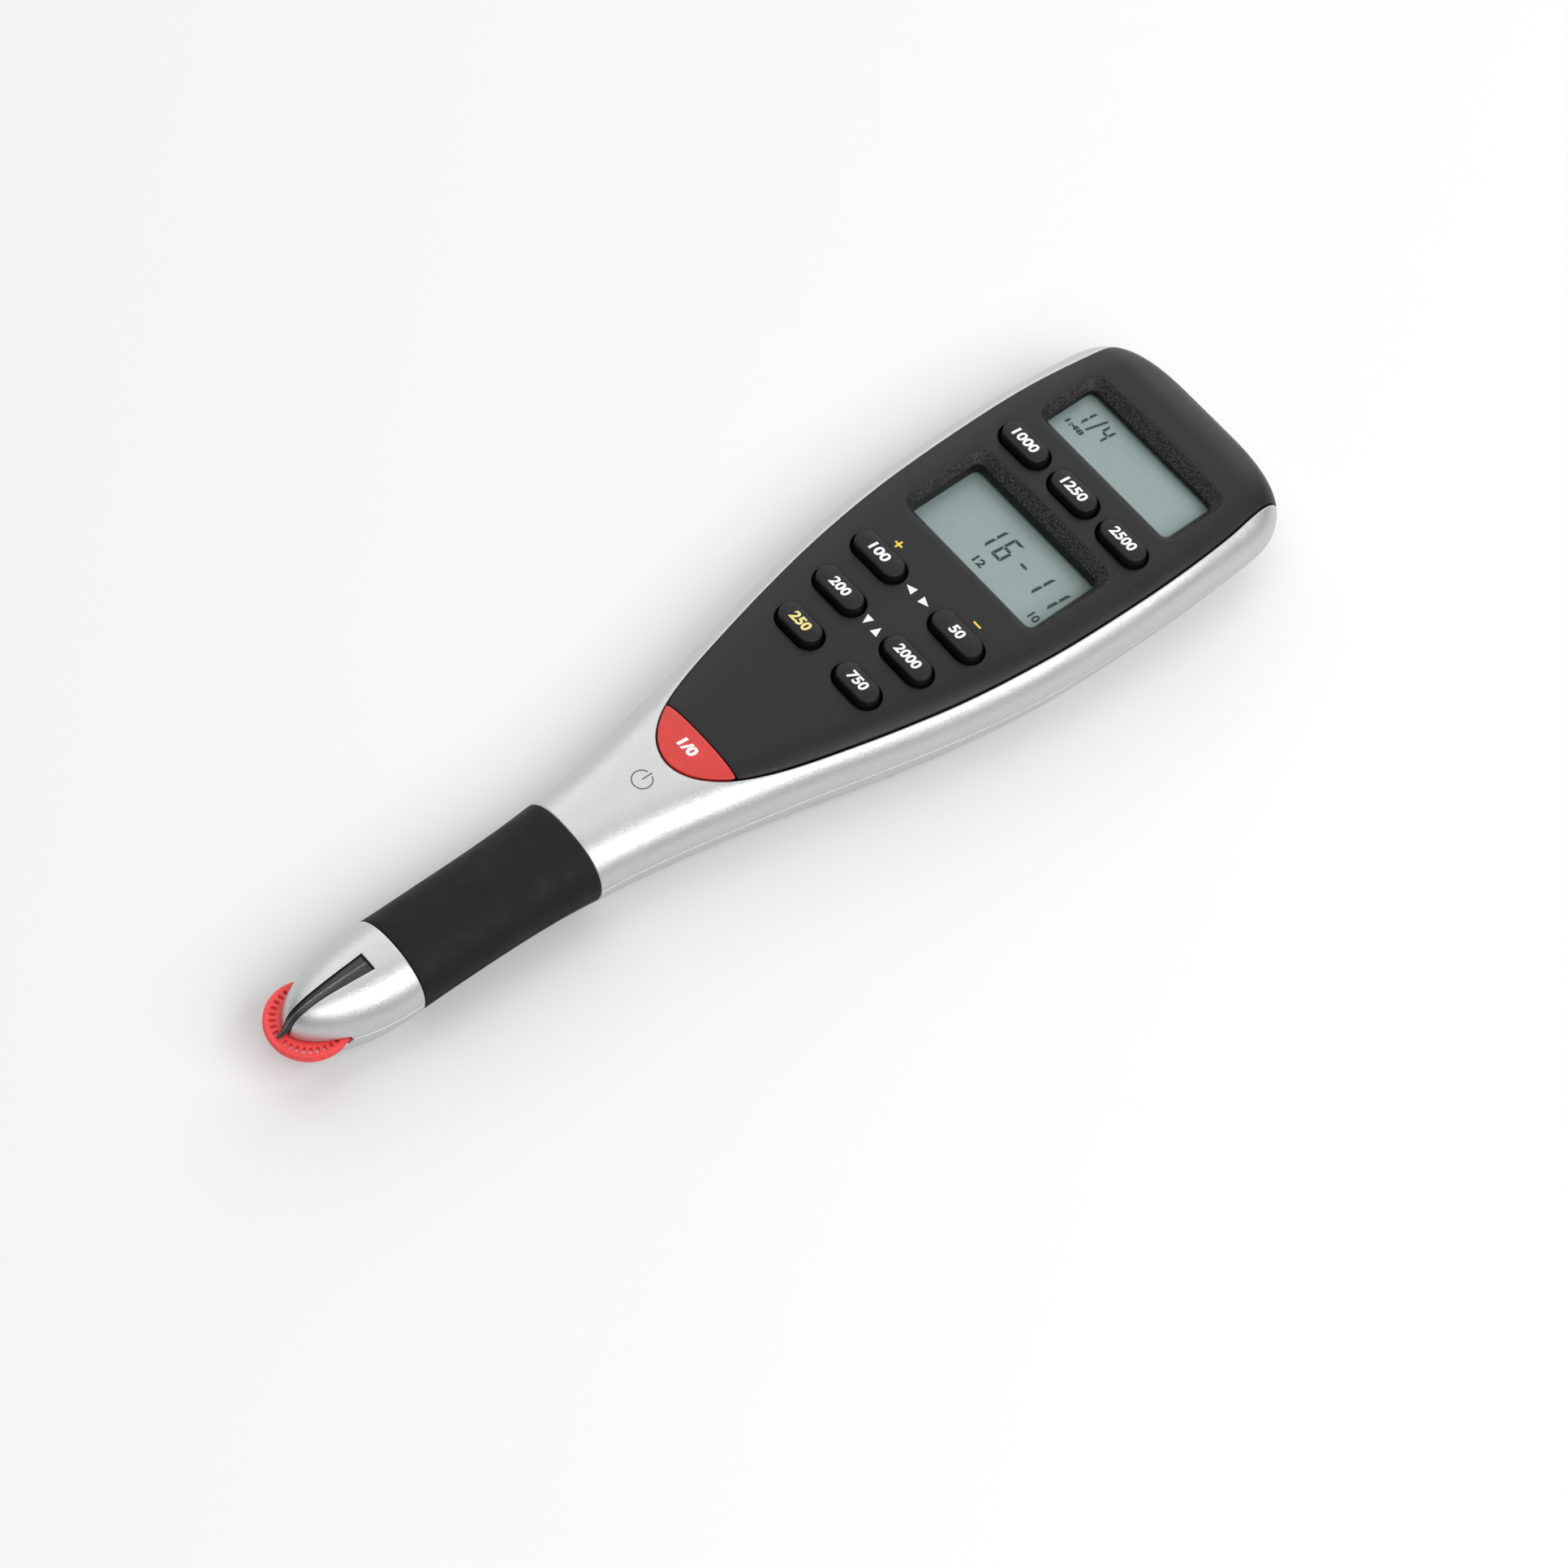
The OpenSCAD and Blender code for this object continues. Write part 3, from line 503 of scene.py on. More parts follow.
back_holes, bore_w = [], screw_bore + 2 * lip
for x, s in screw_spots:
    bore = rect_line(bore_w, bore_w, bore_w / 2, 1, steps=8)
    back_holes.append((opening(lower, bore, x, s), rounded_edge(lip, screw_floor + screw_head_t)))
recess = rect_line(recess_w + 2 * lip, recess_l + 2 * lip, recess_corner + lip, 1.2)
back_holes.append((opening(lower, recess, 0, door_mid), rounded_edge(lip, recess_deep)))
head_line = band(lower, grip_to + edge_r + joint_gap, end_stop)
head_back = moulding(lower, [(head_line, rounded_edge(edge_r, wall_t))] + back_holes, wall_at, grid=0.9)
nose_line = band(lower, nose_start, grip_from - edge_r - joint_gap, step=0.45)
nose_back = moulding(lower, [(nose_line, rounded_edge(edge_r, nose_wall))], nose_wall, grid=0.5)
notch_out, notch_in = hook_x + notch_w / 2, hook_x - notch_w / 2
bay_side = np.array([(notch_in, bay_to), (notch_in, notch_to), (notch_out, notch_to), (notch_out, bay_to),
                     (bay_w / 2, bay_to), (bay_w / 2, bay_from)])
bay = filled(np.concatenate([bay_side[::-1] * [-1, 1], bay_side]) - [0, door_mid], 1.5)
ledge_line = rect_line(recess_w + 2 * ledge, recess_l + 2 * ledge, ledge_corner, 2)
bay_wall = plate(Level(0, door_mid, ledge_z, -1), ledge_line, ledge_edge, ledge_t,
                 [(bay, rounded_edge(ledge_edge, bay_deep, steps=2))])
piece("lower_shell", [head_back, nose_back, barrel(lower), bay_wall], [silver], "base", ["lower_housing"])

# Battery door
# A flat ABS cover in the back of the head, sprayed like the case, with three grip slots at its free
# end. Two hooks at its other end reach under the case wall, and it swings out on them.
groove_w, groove_l, groove_deep, groove_edge, groove_pitch, groove_mid = 7, 1, 0.4, 0.1, 2.4, 5
door_edge, skin_t, core_z, core_inset = 0.2, 0.42, 0.35, 0.02
hook_w, hook_top = 2.4, 3.1
leg = {"after": 0.6, "long": 1.4, "corner": 0.1, "edge": 0.05, "thick": 2.6}
toe = {"after": 1.8, "long": 3.8, "corner": 0.3, "edge": 0.12, "thick": 0.7}
groove = rect_line(groove_w, groove_l, groove_l / 2, 1)
groove_y = [groove_pitch * k - door_l / 2 + groove_mid for k in (-1, 0, 1)]
grooves = [(groove + [0, y], rounded_edge(groove_edge, groove_deep, steps=2)) for y in groove_y]
door_line = rect_line(door_w, door_l, door_corner, 1.2)
core_line = rect_line(door_w - core_inset, door_l - core_inset, door_corner, 1.2)
door_parts = [plate(Level(0, door_mid, 0, -1), door_line, door_edge, skin_t, grooves),
              plate(Level(0, door_mid, core_z, -1), core_line, core_inset, door_t - core_z)]
for x in (-hook_x, hook_x):
    for part in (leg, toe):
        outline = rect_line(hook_w, part["long"], part["corner"], 1, steps=2)
        middle = Level(x, bay_to + part["after"], hook_top)
        door_parts.append(plate(middle, outline, part["edge"], part["thick"]))
piece("battery_cover", door_parts, [silver], "door", ["battery_door"])

# Button cells
# Two steel button cells stand side by side in the bay, one behind the other along the tool. Each is
# a drawn can closed by a smaller cap, which faces the door, with a dark sealing ring between them.
cell_d, cell_t = 11.6, 5.4
cell_steel = finish("cell_steel", (0.62, 0.61, 0.59), 0.26, metallic=1.0)
turning = pattern(cell_steel, 0.5, (1, 1, 8), Detail=5)
spread(cell_steel, turning, 0.2, 0.36, "Roughness")
relief(cell_steel, turning, 0.006)
sealing = finish("sealing_ring", (0.02, 0.02, 0.022), 0.5)
relief(sealing, pattern(sealing, 0.3), 0.01)


def turned(profile, x, y, z, count=64, shade=()):
    """A solid of revolution about an upright axis, from its (radius, height) profile."""
    angles = np.arange(count) * tau / count
    round_about = np.stack([np.cos(angles), np.sin(angles), 0 * angles], -1)
    return tube([round_about * r + [x, y, z + h] for r, h in profile], lambda ring, side: int(ring in shade))


can = [(4.6, 0), (4.9, 0.03), (5.1, 0.2), (5.1, 0.42), (5.12, 0.5), (5.38, 0.52), (5.45, 0.5), (5.66, 0.55),
       (cell_d / 2, 0.75), (cell_d / 2, cell_t - 0.35), (5.7, cell_t - 0.1), (5.45, cell_t), (4.3, cell_t),
       (4.2, cell_t - 0.04)]
for node in ("cell_front", "cell_rear"):
    low, high = (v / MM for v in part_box(node))
    cell = turned(can, (low.x + high.x) / 2, (low.y + high.y) / 2, low.z, shade=(3, 4, 5))
    piece(node + "_can", [cell], [cell_steel, sealing], "base", [node])

# Cell contacts
# Two spring plates above the cells and a bridge strip inside the door, all pressed from nickelled
# steel sheet. The bridge rides on the door and joins the two cells from below.
nickel = finish("nickelled_steel", (0.66, 0.64, 0.58), 0.3, metallic=1.0)
rolling = pattern(nickel, 0.3, (6, 1, 1), Detail=4)
spread(nickel, rolling, 0.24, 0.42, "Roughness")
relief(nickel, rolling, 0.005)


def dress(material, *nodes):
    """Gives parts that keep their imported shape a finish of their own."""
    for node in nodes:
        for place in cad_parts[node].material_slots:
            place.material = material


dress(nickel, "cell_contacts", "cell_bridge")

# Encoder wheel and its axle
# The rolling wheel: a thin disc moulded in red acetal, with a ring of light slots, a raised hub that
# runs on a ground steel pin, and a finely ribbed rim that grips the paper.
slot_in, slot_out, slot_w, slot_count = 4.6, 5.65, 0.55, 32
slot_corner, slot_edge, rim_edge = 0.2, 0.04, 0.08
wheel_t, hub_r, hub_rise, hub_edge, bore_r, bore_edge = 1.2, 2.5, 0.2, 0.12, 0.84, 0.05
rib_count, rib_depth, rib_root, rib_base, rib_shoulder, rib_inset = 98, 0.13, 0.1, 0.13, 0.08, 0.06


def ring(radius, count, turn=1):
    """The points of a circle; turn is -1 for a hole."""
    angles = turn * np.arange(count) * tau / count
    return np.stack([radius * np.cos(angles), radius * np.sin(angles)], -1)


def red_plastic(name, colour, roughness):
    """Coloured acetal, slightly cloudy, with a fine grain."""
    made = finish(name, colour, roughness, specular=0.45)
    cloud = pattern(made, 1.6, Detail=3)
    spread(made, cloud, tuple(0.88 * c for c in colour), colour, "Base Color")
    relief(made, pattern(made, 0.2), 0.006)
    return made


def prism(outline, thick):
    """A flat plate with an upright side, from its outline in anticlockwise order."""
    outline = np.array(outline, float)
    return tube([np.c_[outline, np.full(len(outline), z)] for z in (0, thick)])


def evaluated(made):
    """The mesh that an object comes to once its modifiers or its letters are worked out."""
    return bpy.data.meshes.new_from_object(made.evaluated_get(bpy.context.evaluated_depsgraph_get()))


def set_out(name, part, places, material, size=(1, 1, 1), loose=0.0, seed=7):
    """Repeats a small part at (x, y, z, turn) places with Geometry Nodes, and returns it as one part."""
    tree = bpy.data.node_groups.new(name + "_layout", "GeometryNodeTree")
    socket = tree.interface.new_socket
    socket("Places", in_out="INPUT", socket_type="NodeSocketGeometry")
    kinds = {"Part": "Object", "Size": "Vector", "Loose Turn": "Float", "Seed": "Int", "Material": "Material"}
    inputs = {label: socket(label, in_out="INPUT", socket_type="NodeSocket" + kind).identifier
              for label, kind in kinds.items()}
    socket("Parts", in_out="OUTPUT", socket_type="NodeSocketGeometry")
    given, result, shown, turn, chance, total, angle, rotation, copies, real, coated = map(tree.nodes.new, [
        "NodeGroupInput", "NodeGroupOutput", "GeometryNodeObjectInfo", "GeometryNodeInputNamedAttribute",
        "FunctionNodeRandomValue", "ShaderNodeMath", "ShaderNodeCombineXYZ", "FunctionNodeEulerToRotation",
        "GeometryNodeInstanceOnPoints", "GeometryNodeRealizeInstances", "GeometryNodeSetMaterial"])
    turn.data_type, turn.inputs["Name"].default_value = "FLOAT", "turn"
    chance.data_type = "FLOAT"
    least, most = [s for s in chance.inputs if s.type == "VALUE" and s.enabled][:2]
    least.default_value = 0.0
    for source, target in [
            (given.outputs["Part"], shown.inputs["Object"]),
            (given.outputs["Places"], copies.inputs["Points"]),
            (shown.outputs["Geometry"], copies.inputs["Instance"]),
            (given.outputs["Size"], copies.inputs["Scale"]),
            (given.outputs["Loose Turn"], most),
            (given.outputs["Seed"], chance.inputs["Seed"]),
            ([s for s in turn.outputs if s.enabled][0], total.inputs[0]),
            ([s for s in chance.outputs if s.enabled][0], total.inputs[1]),
            (total.outputs[0], angle.inputs["Z"]),
            (angle.outputs[0], rotation.inputs[0]),
            (rotation.outputs[0], copies.inputs["Rotation"]),
            (copies.outputs[0], real.inputs[0]),
            (real.outputs[0], coated.inputs["Geometry"]),
            (given.outputs["Material"], coated.inputs["Material"]),
            (coated.outputs[0], result.inputs[0])]:
        tree.links.new(source, target)
    one_mesh, place_mesh = (bpy.data.meshes.new(name + end) for end in ("_one", "_places"))
    one_mesh.from_pydata(part[0].tolist(), [], [[int(k) for k in f] for f in part[1]])
    place_mesh.from_pydata([p[:3] for p in places], [], [])
    place_mesh.attributes.new("turn", "FLOAT", "POINT").data.foreach_set("value", [p[3] for p in places])
    one, host = placed(name + "_one", one_mesh), placed(name + "_places", place_mesh)
    layout = host.modifiers.new("layout", "NODES")
    layout.node_group = tree
    values = {"Part": one, "Size": size, "Loose Turn": loose, "Seed": seed, "Material": material}
    for label, value in values.items():
        layout[inputs[label]] = value
    mesh = evaluated(host)
    host.modifiers.clear()
    points = np.array([v.co for v in mesh.vertices])
    faces = [list(f.vertices) for f in mesh.polygons]
    for helper in (one, host):
        bpy.data.objects.remove(helper)
    return points, faces, [0] * len(faces)


wheel_red = red_plastic("wheel_red", (0.93, 0.062, 0.062), 0.4)
disc_r = wheel_r - rib_depth
light_slots = []
for k in range(slot_count):
    angle = k * tau / slot_count
    outline = rect_line(slot_out - slot_in, slot_w, slot_corner, 0.5, steps=3) + [(slot_in + slot_out) / 2, 0]
    outline = outline @ np.array([[cos(angle), sin(angle)], [-sin(angle), cos(angle)]])
    light_slots.append((outline, rounded_edge(slot_edge, wheel_t - slot_edge, steps=2)))


def wheel_disc(radius, count, edge, steps, thick, holes, grid):
    """A disc with the wheel's bore, in the middle of the wheel's thickness."""
    loops = [(ring(radius - edge, count), rounded_edge(edge, thick, steps)),
             (ring(bore_r, 32, -1), rounded_edge(bore_edge, thick - bore_edge, steps=2))]
    return moulding(Level(wheel_x, wheel_y + length / 2, wheel_z + thick / 2), loops + holes, thick, grid)


disc = wheel_disc(disc_r, 160, rim_edge, 2, wheel_t, light_slots, grid=0.7)
hub = wheel_disc(hub_r, 48, hub_edge, 3, wheel_t + 2 * hub_rise, [], grid=0.6)
rib_line = [(-rib_root, -rib_base), (rib_shoulder, -rib_shoulder), (rib_depth, 0),
            (rib_shoulder, rib_shoulder), (-rib_root, rib_base)]
rib = prism(rib_line, wheel_t - 2 * rib_inset)
rib[0][:, 2] -= wheel_t / 2 - rib_inset
rib_places = [(wheel_x + disc_r * cos(a), wheel_y + disc_r * sin(a), wheel_z, a)
              for a in np.arange(rib_count) * tau / rib_count]
ribs = set_out("rim_rib", rib, rib_places, wheel_red)
piece("rolling_wheel", [disc, hub, ribs], [wheel_red], "wheel", ["encoder_wheel"])
dress(nickel, "axle_pin")

# Light gate, encoder board and ribbon
# The gate is a black block that straddles the wheel's slots and sits on a small board in the handle.
# A flat ribbon of wires runs from that board to the main one, round the screw in the neck.
gate_black = finish("gate_black", (0.022, 0.022, 0.025), 0.45)
relief(gate_black, pattern(gate_black, 0.25, Detail=4), 0.015)


def board_green(name):
    """Green solder mask over copper tracks, which stand up a little under it."""
    made = finish(name, (0.02, 0.15, 0.06), 0.32)
    tracks = pattern(made, 2.4, (1, 1, 0.01), kind="Brick", **{"Mortar Size": 0.09, "Mortar Smooth": 0.1})
    spread(made, tracks, (0.012, 0.11, 0.045), (0.045, 0.24, 0.09), "Base Color", 0, 1)
    relief(made, tracks, 0.03)
    relief(made, pattern(made, 0.3, Detail=3), 0.006)
    return made


ribbon_grey = finish("ribbon_grey", (0.55, 0.55, 0.53), 0.5)
wires = pattern(ribbon_grey, 0.2, kind="Wave")
spread(ribbon_grey, wires, (0.36, 0.36, 0.35), (0.62, 0.62, 0.6), "Base Color", 0, 1)
relief(ribbon_grey, wires, 0.05)
solder_mask = board_green("solder_mask")
dress(gate_black, "light_gate")
dress(solder_mask, "encoder_board")
dress(ribbon_grey, "ribbon")

# Main board
# One fibreglass board under the whole head, with gold-plated contact pads on top and the one
# moulded chip underneath.
gold = finish("gold_plate", (0.86, 0.6, 0.22), 0.28, metallic=1.0)
comb = pattern(gold, 0.5, kind="Wave")
spread(gold, comb, 0.22, 0.4, "Roughness", 0, 1)
relief(gold, comb, 0.02)
chip_black = finish("chip_black", (0.018, 0.018, 0.02), 0.55)
relief(chip_black, pattern(chip_black, 0.15, Detail=4), 0.015)
dress(solder_mask, "main_board")
dress(gold, "contact_pads")
dress(chip_black, "board_chip")

# Keypad sheet and display connectors
# A grey silicone sheet lies on the board, with a raised collar round each plunger. Two striped
# rubber strips join the display glass to the board.
silicone = finish("grey_silicone", (0.11, 0.11, 0.12), 0.55)
relief(silicone, pattern(silicone, 0.35, Detail=4), 0.02)
stripe = finish("striped_rubber", (0.05, 0.05, 0.055), 0.5)
layers = pattern(stripe, 0.18, kind="Wave")
spread(stripe, layers, (0.02, 0.02, 0.022), (0.16, 0.16, 0.17), "Base Color", 0, 1)
dress(silicone, "keypad_mat")
dress(stripe, "upper_connector", "main_connector")

# Displays
# Two liquid crystal panels: grey-green glass whose lit bars show dark. The bars lean a little and
# stand just above the glass, where the crystal darkens.
lcd_glass = finish("lcd_glass", (0.31, 0.4, 0.385), 0.3, specular=0.3)
haze = pattern(lcd_glass, 6, Detail=3)
spread(lcd_glass, haze, (0.3, 0.39, 0.375), (0.32, 0.41, 0.395), "Base Color")
relief(lcd_glass, pattern(lcd_glass, 0.25), 0.003)
dress(lcd_glass, "upper_display", "main_display")
lcd_dark = finish("lcd_bar", (0.03, 0.052, 0.052), 0.4, specular=0.2)
edge_fade = pattern(lcd_dark, 0.4)
spread(lcd_dark, edge_fade, (0.025, 0.044, 0.044), (0.036, 0.06, 0.06), "Base Color")
print_t = 0.03


def laid(surface, part, x, s, sink=0.01, shade=0):
    """A thin flat part laid on a surface at a place."""
    points, faces, paint = part
    q, p = surface.spot(points[:, 0] + x, points[:, 1] + s)
    return surface.point(q, p) + surface.normal(q, p) * (points[:, 2:] - sink), faces, [shade] * len(faces)


def bar_digit(lit, left, foot, wide, high, stroke, lean=0.09, gap=0.07):
    """The lit bars of a seven-bar digit; they are named a to g as usual."""
    half, mid, inner = stroke / 2, high / 2, stroke + gap

    def across(line):
        return [wide, 0] + line[::-1] * [-1, 1]

    def down(line):
        return [0, high] + line[::-1] * [1, -1]

    side = np.array([(wide, mid + gap), (wide, high - gap), (wide - stroke, high - inner),
                     (wide - stroke, mid + half + gap)])
    cross = np.array([(gap, high), (inner, high - stroke), (wide - inner, high - stroke), (wide - gap, high)])
    middle = np.array([(half + gap, mid), (inner, mid - half), (wide - inner, mid - half),
                       (wide - half - gap, mid), (wide - inner, mid + half), (inner, mid + half)])
    shapes = {"a": cross, "b": side, "c": down(side), "d": down(cross), "e": across(down(side)),
              "f": across(side), "g": middle}
    bars = [shapes[name] for name in lit]
    return [prism(np.c_[left + bar[:, 0] + lean * bar[:, 1], foot + bar[:, 1]], print_t) for bar in bars]


def lettering(text, wide, high, bold, lean=0.0):
    """A line of print as a thin plate centred on its place, cut up so that it can lie on a curved top."""
    curve = bpy.data.curves.new("print", "FONT")
    curve.body, curve.offset, curve.extrude, curve.resolution_u = text, bold, 0.01, 3
    written = placed("print", curve)
    mesh = evaluated(written)
    bpy.data.objects.remove(written)
    cut = bmesh.new()
    cut.from_mesh(mesh)
    bmesh.ops.triangulate(cut, faces=cut.faces)
    first, last = (np.array([f(v.co[k] for v in cut.verts) for k in range(3)]) for f in (min, max))
    for k, parts in ((0, 4 * len(text)), (1, 7)):
        for share in np.linspace(0, 1, parts)[1:-1]:
            at, facing = np.zeros(3), np.zeros(3)
            at[k], facing[k] = first[k] + share * (last[k] - first[k]), 1
            everything = cut.verts[:] + cut.edges[:] + cut.faces[:]
            bmesh.ops.bisect_plane(cut, geom=everything, plane_co=at, plane_no=facing)
    cut.to_mesh(mesh)
    cut.free()
    points = np.array([v.co for v in mesh.vertices])
    points = (points - (first + last) / 2) / (last - first) * [wide, high, print_t] + [0, 0, print_t / 2]
    points[:, 0] += lean * points[:, 1]
    return points, [list(f.vertices) for f in mesh.polygons], [0] * len(mesh.polygons)


def on_glass(parts, node):
    """Sets bars given by their place on the tool onto a display's glass."""
    glass = Level(0, 0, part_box(node)[1].z / MM + glass_gap)
    return [laid(glass, part, 0, 0, sink=0) for part in parts]


glass_gap = 0.02
upper_s, upper_high, upper_stroke = 163.85, 3.45, 0.43
slash_foot, slash_top, slash_w, slash_s, slash_end = -9.6, -8.65, 0.4, 163.7, 167.5
main_s, main_wide, main_high, main_stroke = 137.25, 2.1, 4.8, 0.5
small_s, small_high, small_bold = 134.8, 1.5, 0.03
ratio_x, ratio_s, ratio_wide, ratio_high, ratio_bold = -10.8, 162.7, 3.6, 1.0, 0.04
upper_bars = [prism([(slash_foot, slash_s), (slash_foot + slash_w, slash_s), (slash_top + slash_w, slash_end),
                     (slash_top, slash_end)], print_t)]
for lit, left, wide in (("bc", -12.3, 1.65), ("fgbc", -8, 1.7)):
    upper_bars += bar_digit(lit, left, upper_s, wide, upper_high, upper_stroke)
ratio = lettering("1:48", ratio_wide, ratio_high, ratio_bold, lean=0.1)
ratio[0][:, :2] += [ratio_x, ratio_s]
upper_bars.append(ratio)
piece("upper_digits", on_glass(upper_bars, "upper_display"), [lcd_dark], "base")
main_bars = []
for lit, left in (("bc", -4.9), ("afgedc", -1.45), ("g", 2.2), ("bc", 5.75), ("bc", 9.3)):
    main_bars += bar_digit(lit, left, main_s, main_wide, main_high, main_stroke)
for text, wide, x in (("12", 2.0, -1.2), ("10", 1.7, 11.3)):
    small = lettering(text, wide, small_high, small_bold)
    small[0][:, :2] += [x, small_s]
    main_bars.append(small)
piece("main_digits", on_glass(main_bars, "main_display"), [lcd_dark], "base")

# Upper housing
# The front half of the case, sprayed silver: the nose with a slot for the pointer, the barrel under
# the grip, and a frame that grows from the neck round the black face. Its opening has a thin lip.
crown = 0.07
top_fall = [(0, 0.5), (53, 0.4), (90, 0.1), (120, 0), (length, 0)]
upper_shoulder = [(0, 7.7), (60, 8), (80, 8.5), (110, 8.8), (130, 8.2), (150, 7.5), (160, 7.1), (170, 8.1),
                  (length, 8.5)]
upper_power = [(0, 2.05), (60, 2.15), (85, 2.3), (110, 2.3), (130, 2.4), (150, 2.5), (160, 2.5), (170, 2.3),
               (length, 2.2)]
face_foot, face_gap, face_lip = 72.1, 0.2, 0.22
outline_sq = [(0, 0), (1.9, 21.6), (6.1, 60.7), (12.4, 106.1), (22.5, 170.3), (32.5, 236.3), (42.5, 299.8),
              (52.5, 348), (62.5, 379.6), (76.5, 395), (86.3, 390), (94.3, 370), (102.3, 334), (120, 290)]
slot_plan = [(0.8, 0.2), (2.8, 0.8), (8.3, 1.0), (16.85, 1.57)]
slot_lip, slot_deep = 0.12, 1.5
top_nose_from, top_nose_fullness, top_end_run, top_end_fullness = 14.4, 3.6, 7.5, 2.2


def rise(s):
    """How far the upper half reaches above the parting plane."""
    full = head_t - along(top_fall, s) - parting_z
    return rounded_ends(full, s, top_nose_from, top_nose_fullness, top_end_run, top_end_fullness)


def upper_skin(lift=0):
    """The skin of the upper half, or the same skin lifted."""
    return Skin(rise, lambda s: along(upper_shoulder, s), lambda s: along(upper_power, s), crown, 1, lift)


def shifted(line, distance):
    """A line moved to the right of its own direction."""
    ahead = np.gradient(line, axis=0)
    ahead /= np.linalg.norm(ahead, axis=1, keepdims=True)
    return line + distance * np.stack([ahead[:, 1], -ahead[:, 0]], -1)


def face_side(shift, foot_run=6.6, foot_rows=12, step=0.8):
    """The right half of the face's outline moved outward, as (x, s) from its foot upward."""
    foot = foot_run * (np.arange(foot_rows + 1) / foot_rows) ** 2
    d = np.r_[foot, np.arange(foot_run + step, length - face_foot + 0.5, step)]
    line = shifted(np.stack([np.sqrt(np.maximum(along(outline_sq, d), 0)), d + face_foot], -1), shift)
    line[0] = 0, face_foot - shift
    return line


def up_to_seam(skin, line, step):
    """The part of a line (x, s) that lies on the skin, from its start to the parting plane, in (q, p)."""
    fine = np.stack(skin.spot(*evenly(line, 0.02).T), -1)
    on_skin = fine[:, 0] < seam(skin, fine[:, 1]) - 0.01
    return evenly(fine[:len(fine) if on_skin.all() else int(np.argmin(on_skin))], step)


def closed(*lines):
    """Lines that meet end to end, as one closed outline."""
    return np.concatenate([line[:-1] for line in lines])


# Near-black plastic for the inner walls of the openings in the silver: partly the unpainted moulding, partly
# painted shade, so that the gaps round the face and the pointer's slot show dark.
bare_moulding_gap_shade = finish("bare_moulding_gap_shade", (0.008, 0.008, 0.009), 0.6)
relief(bare_moulding_gap_shade, pattern(bare_moulding_gap_shade, 0.4, Detail=3), 0.02)
upper = upper_skin()
over = np.array([-1, 1])
lip_side = up_to_seam(upper, face_side(face_gap + face_lip), 0.7)
head_p = np.linspace(path_of(grip_to + edge_r + joint_gap), lip_side[-1, 1], 170)
head_side = np.stack([seam(upper, head_p), head_p], -1)
neck_line = evenly([head_side[0] * over, head_side[0]], 0.8)
head_line = closed(head_side, lip_side[::-1], lip_side * over, head_side[::-1] * over, neck_line)
# The wall below the face's lip takes the dark moulding, painted shade in the gap round the face.
head_front = moulding(upper, [(head_line, rounded_edge(face_lip, wall_t, shade=1))], wall_at, grid=0.75)
slot_s = np.linspace(slot_plan[-1][0] + slot_lip, nose_tip, 60)
slot_x = np.interp(slot_s, *zip(*slot_plan)) + slot_lip
slot_side = up_to_seam(upper, np.stack([slot_x, slot_s], -1), 0.4)
nose_p = np.linspace(slot_side[-1, 1], path_of(grip_from - edge_r - joint_gap), 60)
nose_side = np.stack([seam(upper, nose_p), nose_p], -1)
nose_line = closed(nose_side, evenly([nose_side[-1], nose_side[-1] * over], 0.5), nose_side[::-1] * over,
                   slot_side[::-1] * over, evenly([slot_side[0] * over, slot_side[0]], 0.4), slot_side)
# The inner wall of the pointer's slot takes the same dark moulding with painted shade.
nose_front = moulding(upper, [(nose_line, rounded_edge(slot_lip, slot_deep, shade=1))], nose_wall, grid=0.42)
piece("upper_shell", [head_front, nose_front, barrel(upper)], [silver, bare_moulding_gap_shade], "base",
      ["upper_housing"])

# Pointer
# A dark grey strip let into the slot of the nose. It curves down over the front and ends in a point
# above the rim of the wheel; a fine ridge along its middle marks the point that is being measured.
pointer_plan = [(0.8, 0.14), (2.8, 0.69), (8.3, 0.89), (16.8, 1.46)]
pointer_recess, pointer_t, pointer_from, pointer_bend = 0.45, 1.1, 16.8, 3.0
pointer_thin = [(0.8, 0.22), (2, 0.4), (3, 0.8), (5, pointer_t)]
ridge_w, ridge_h, ridge_from, ridge_to, ridge_rise, ridge_stop = 0.5, 0.25, 1.0, 16.7, 0.8, 0.3
pointer_grey = finish("pointer_grey", (0.022, 0.023, 0.024), 0.42)
flow = pattern(pointer_grey, 0.3, (2, 0.5, 1), Detail=3)
spread(pointer_grey, flow, (0.018, 0.019, 0.02), (0.027, 0.028, 0.029), "Base Color")
relief(pointer_grey, pattern(pointer_grey, 0.2, Detail=3), 0.003)
# The crest of the ridge is a lighter grey: a painted highlight for the light that the narrow crest catches.
painted_ridge_highlight = finish("painted_ridge_highlight", (0.36, 0.36, 0.37), 0.3, metallic=0.3)
spread(painted_ridge_highlight, pattern(painted_ridge_highlight, 0.4), (0.1, 0.1, 0.105), (0.26, 0.26, 0.27), "Base Color")


def strip_along(path, widths, thicknesses, ridges):
    """A ridged strip that follows a path (s, z), as one closed part."""
    ahead = np.gradient(path, axis=0)
    ahead /= np.linalg.norm(ahead, axis=1, keepdims=True)
    over_path = np.stack([ahead[:, 1], -ahead[:, 0]], -1)
    rings = []
    for (s, z), away, w, t, ridge in zip(path, over_path, widths, thicknesses, ridges):
        half, round_off = min(ridge_w / 2, 0.5 * w), min(0.1, 0.4 * w)
        right = [(half, 0.45 * ridge), (w - round_off, 0), (w, -round_off), (w, -t)]
        profile = right + [(-u, v) for u, v in right[::-1]] + [(-0.3 * half, ridge), (0.3 * half, ridge)]
        rings.append([(u, s + away[0] * v - length / 2, z + away[1] * v) for u, v in profile])
    # The faces along the crest take the painted highlight.
    crest = len(profile) - 2
    return tube(rings, lambda ring, side: int(side == crest))


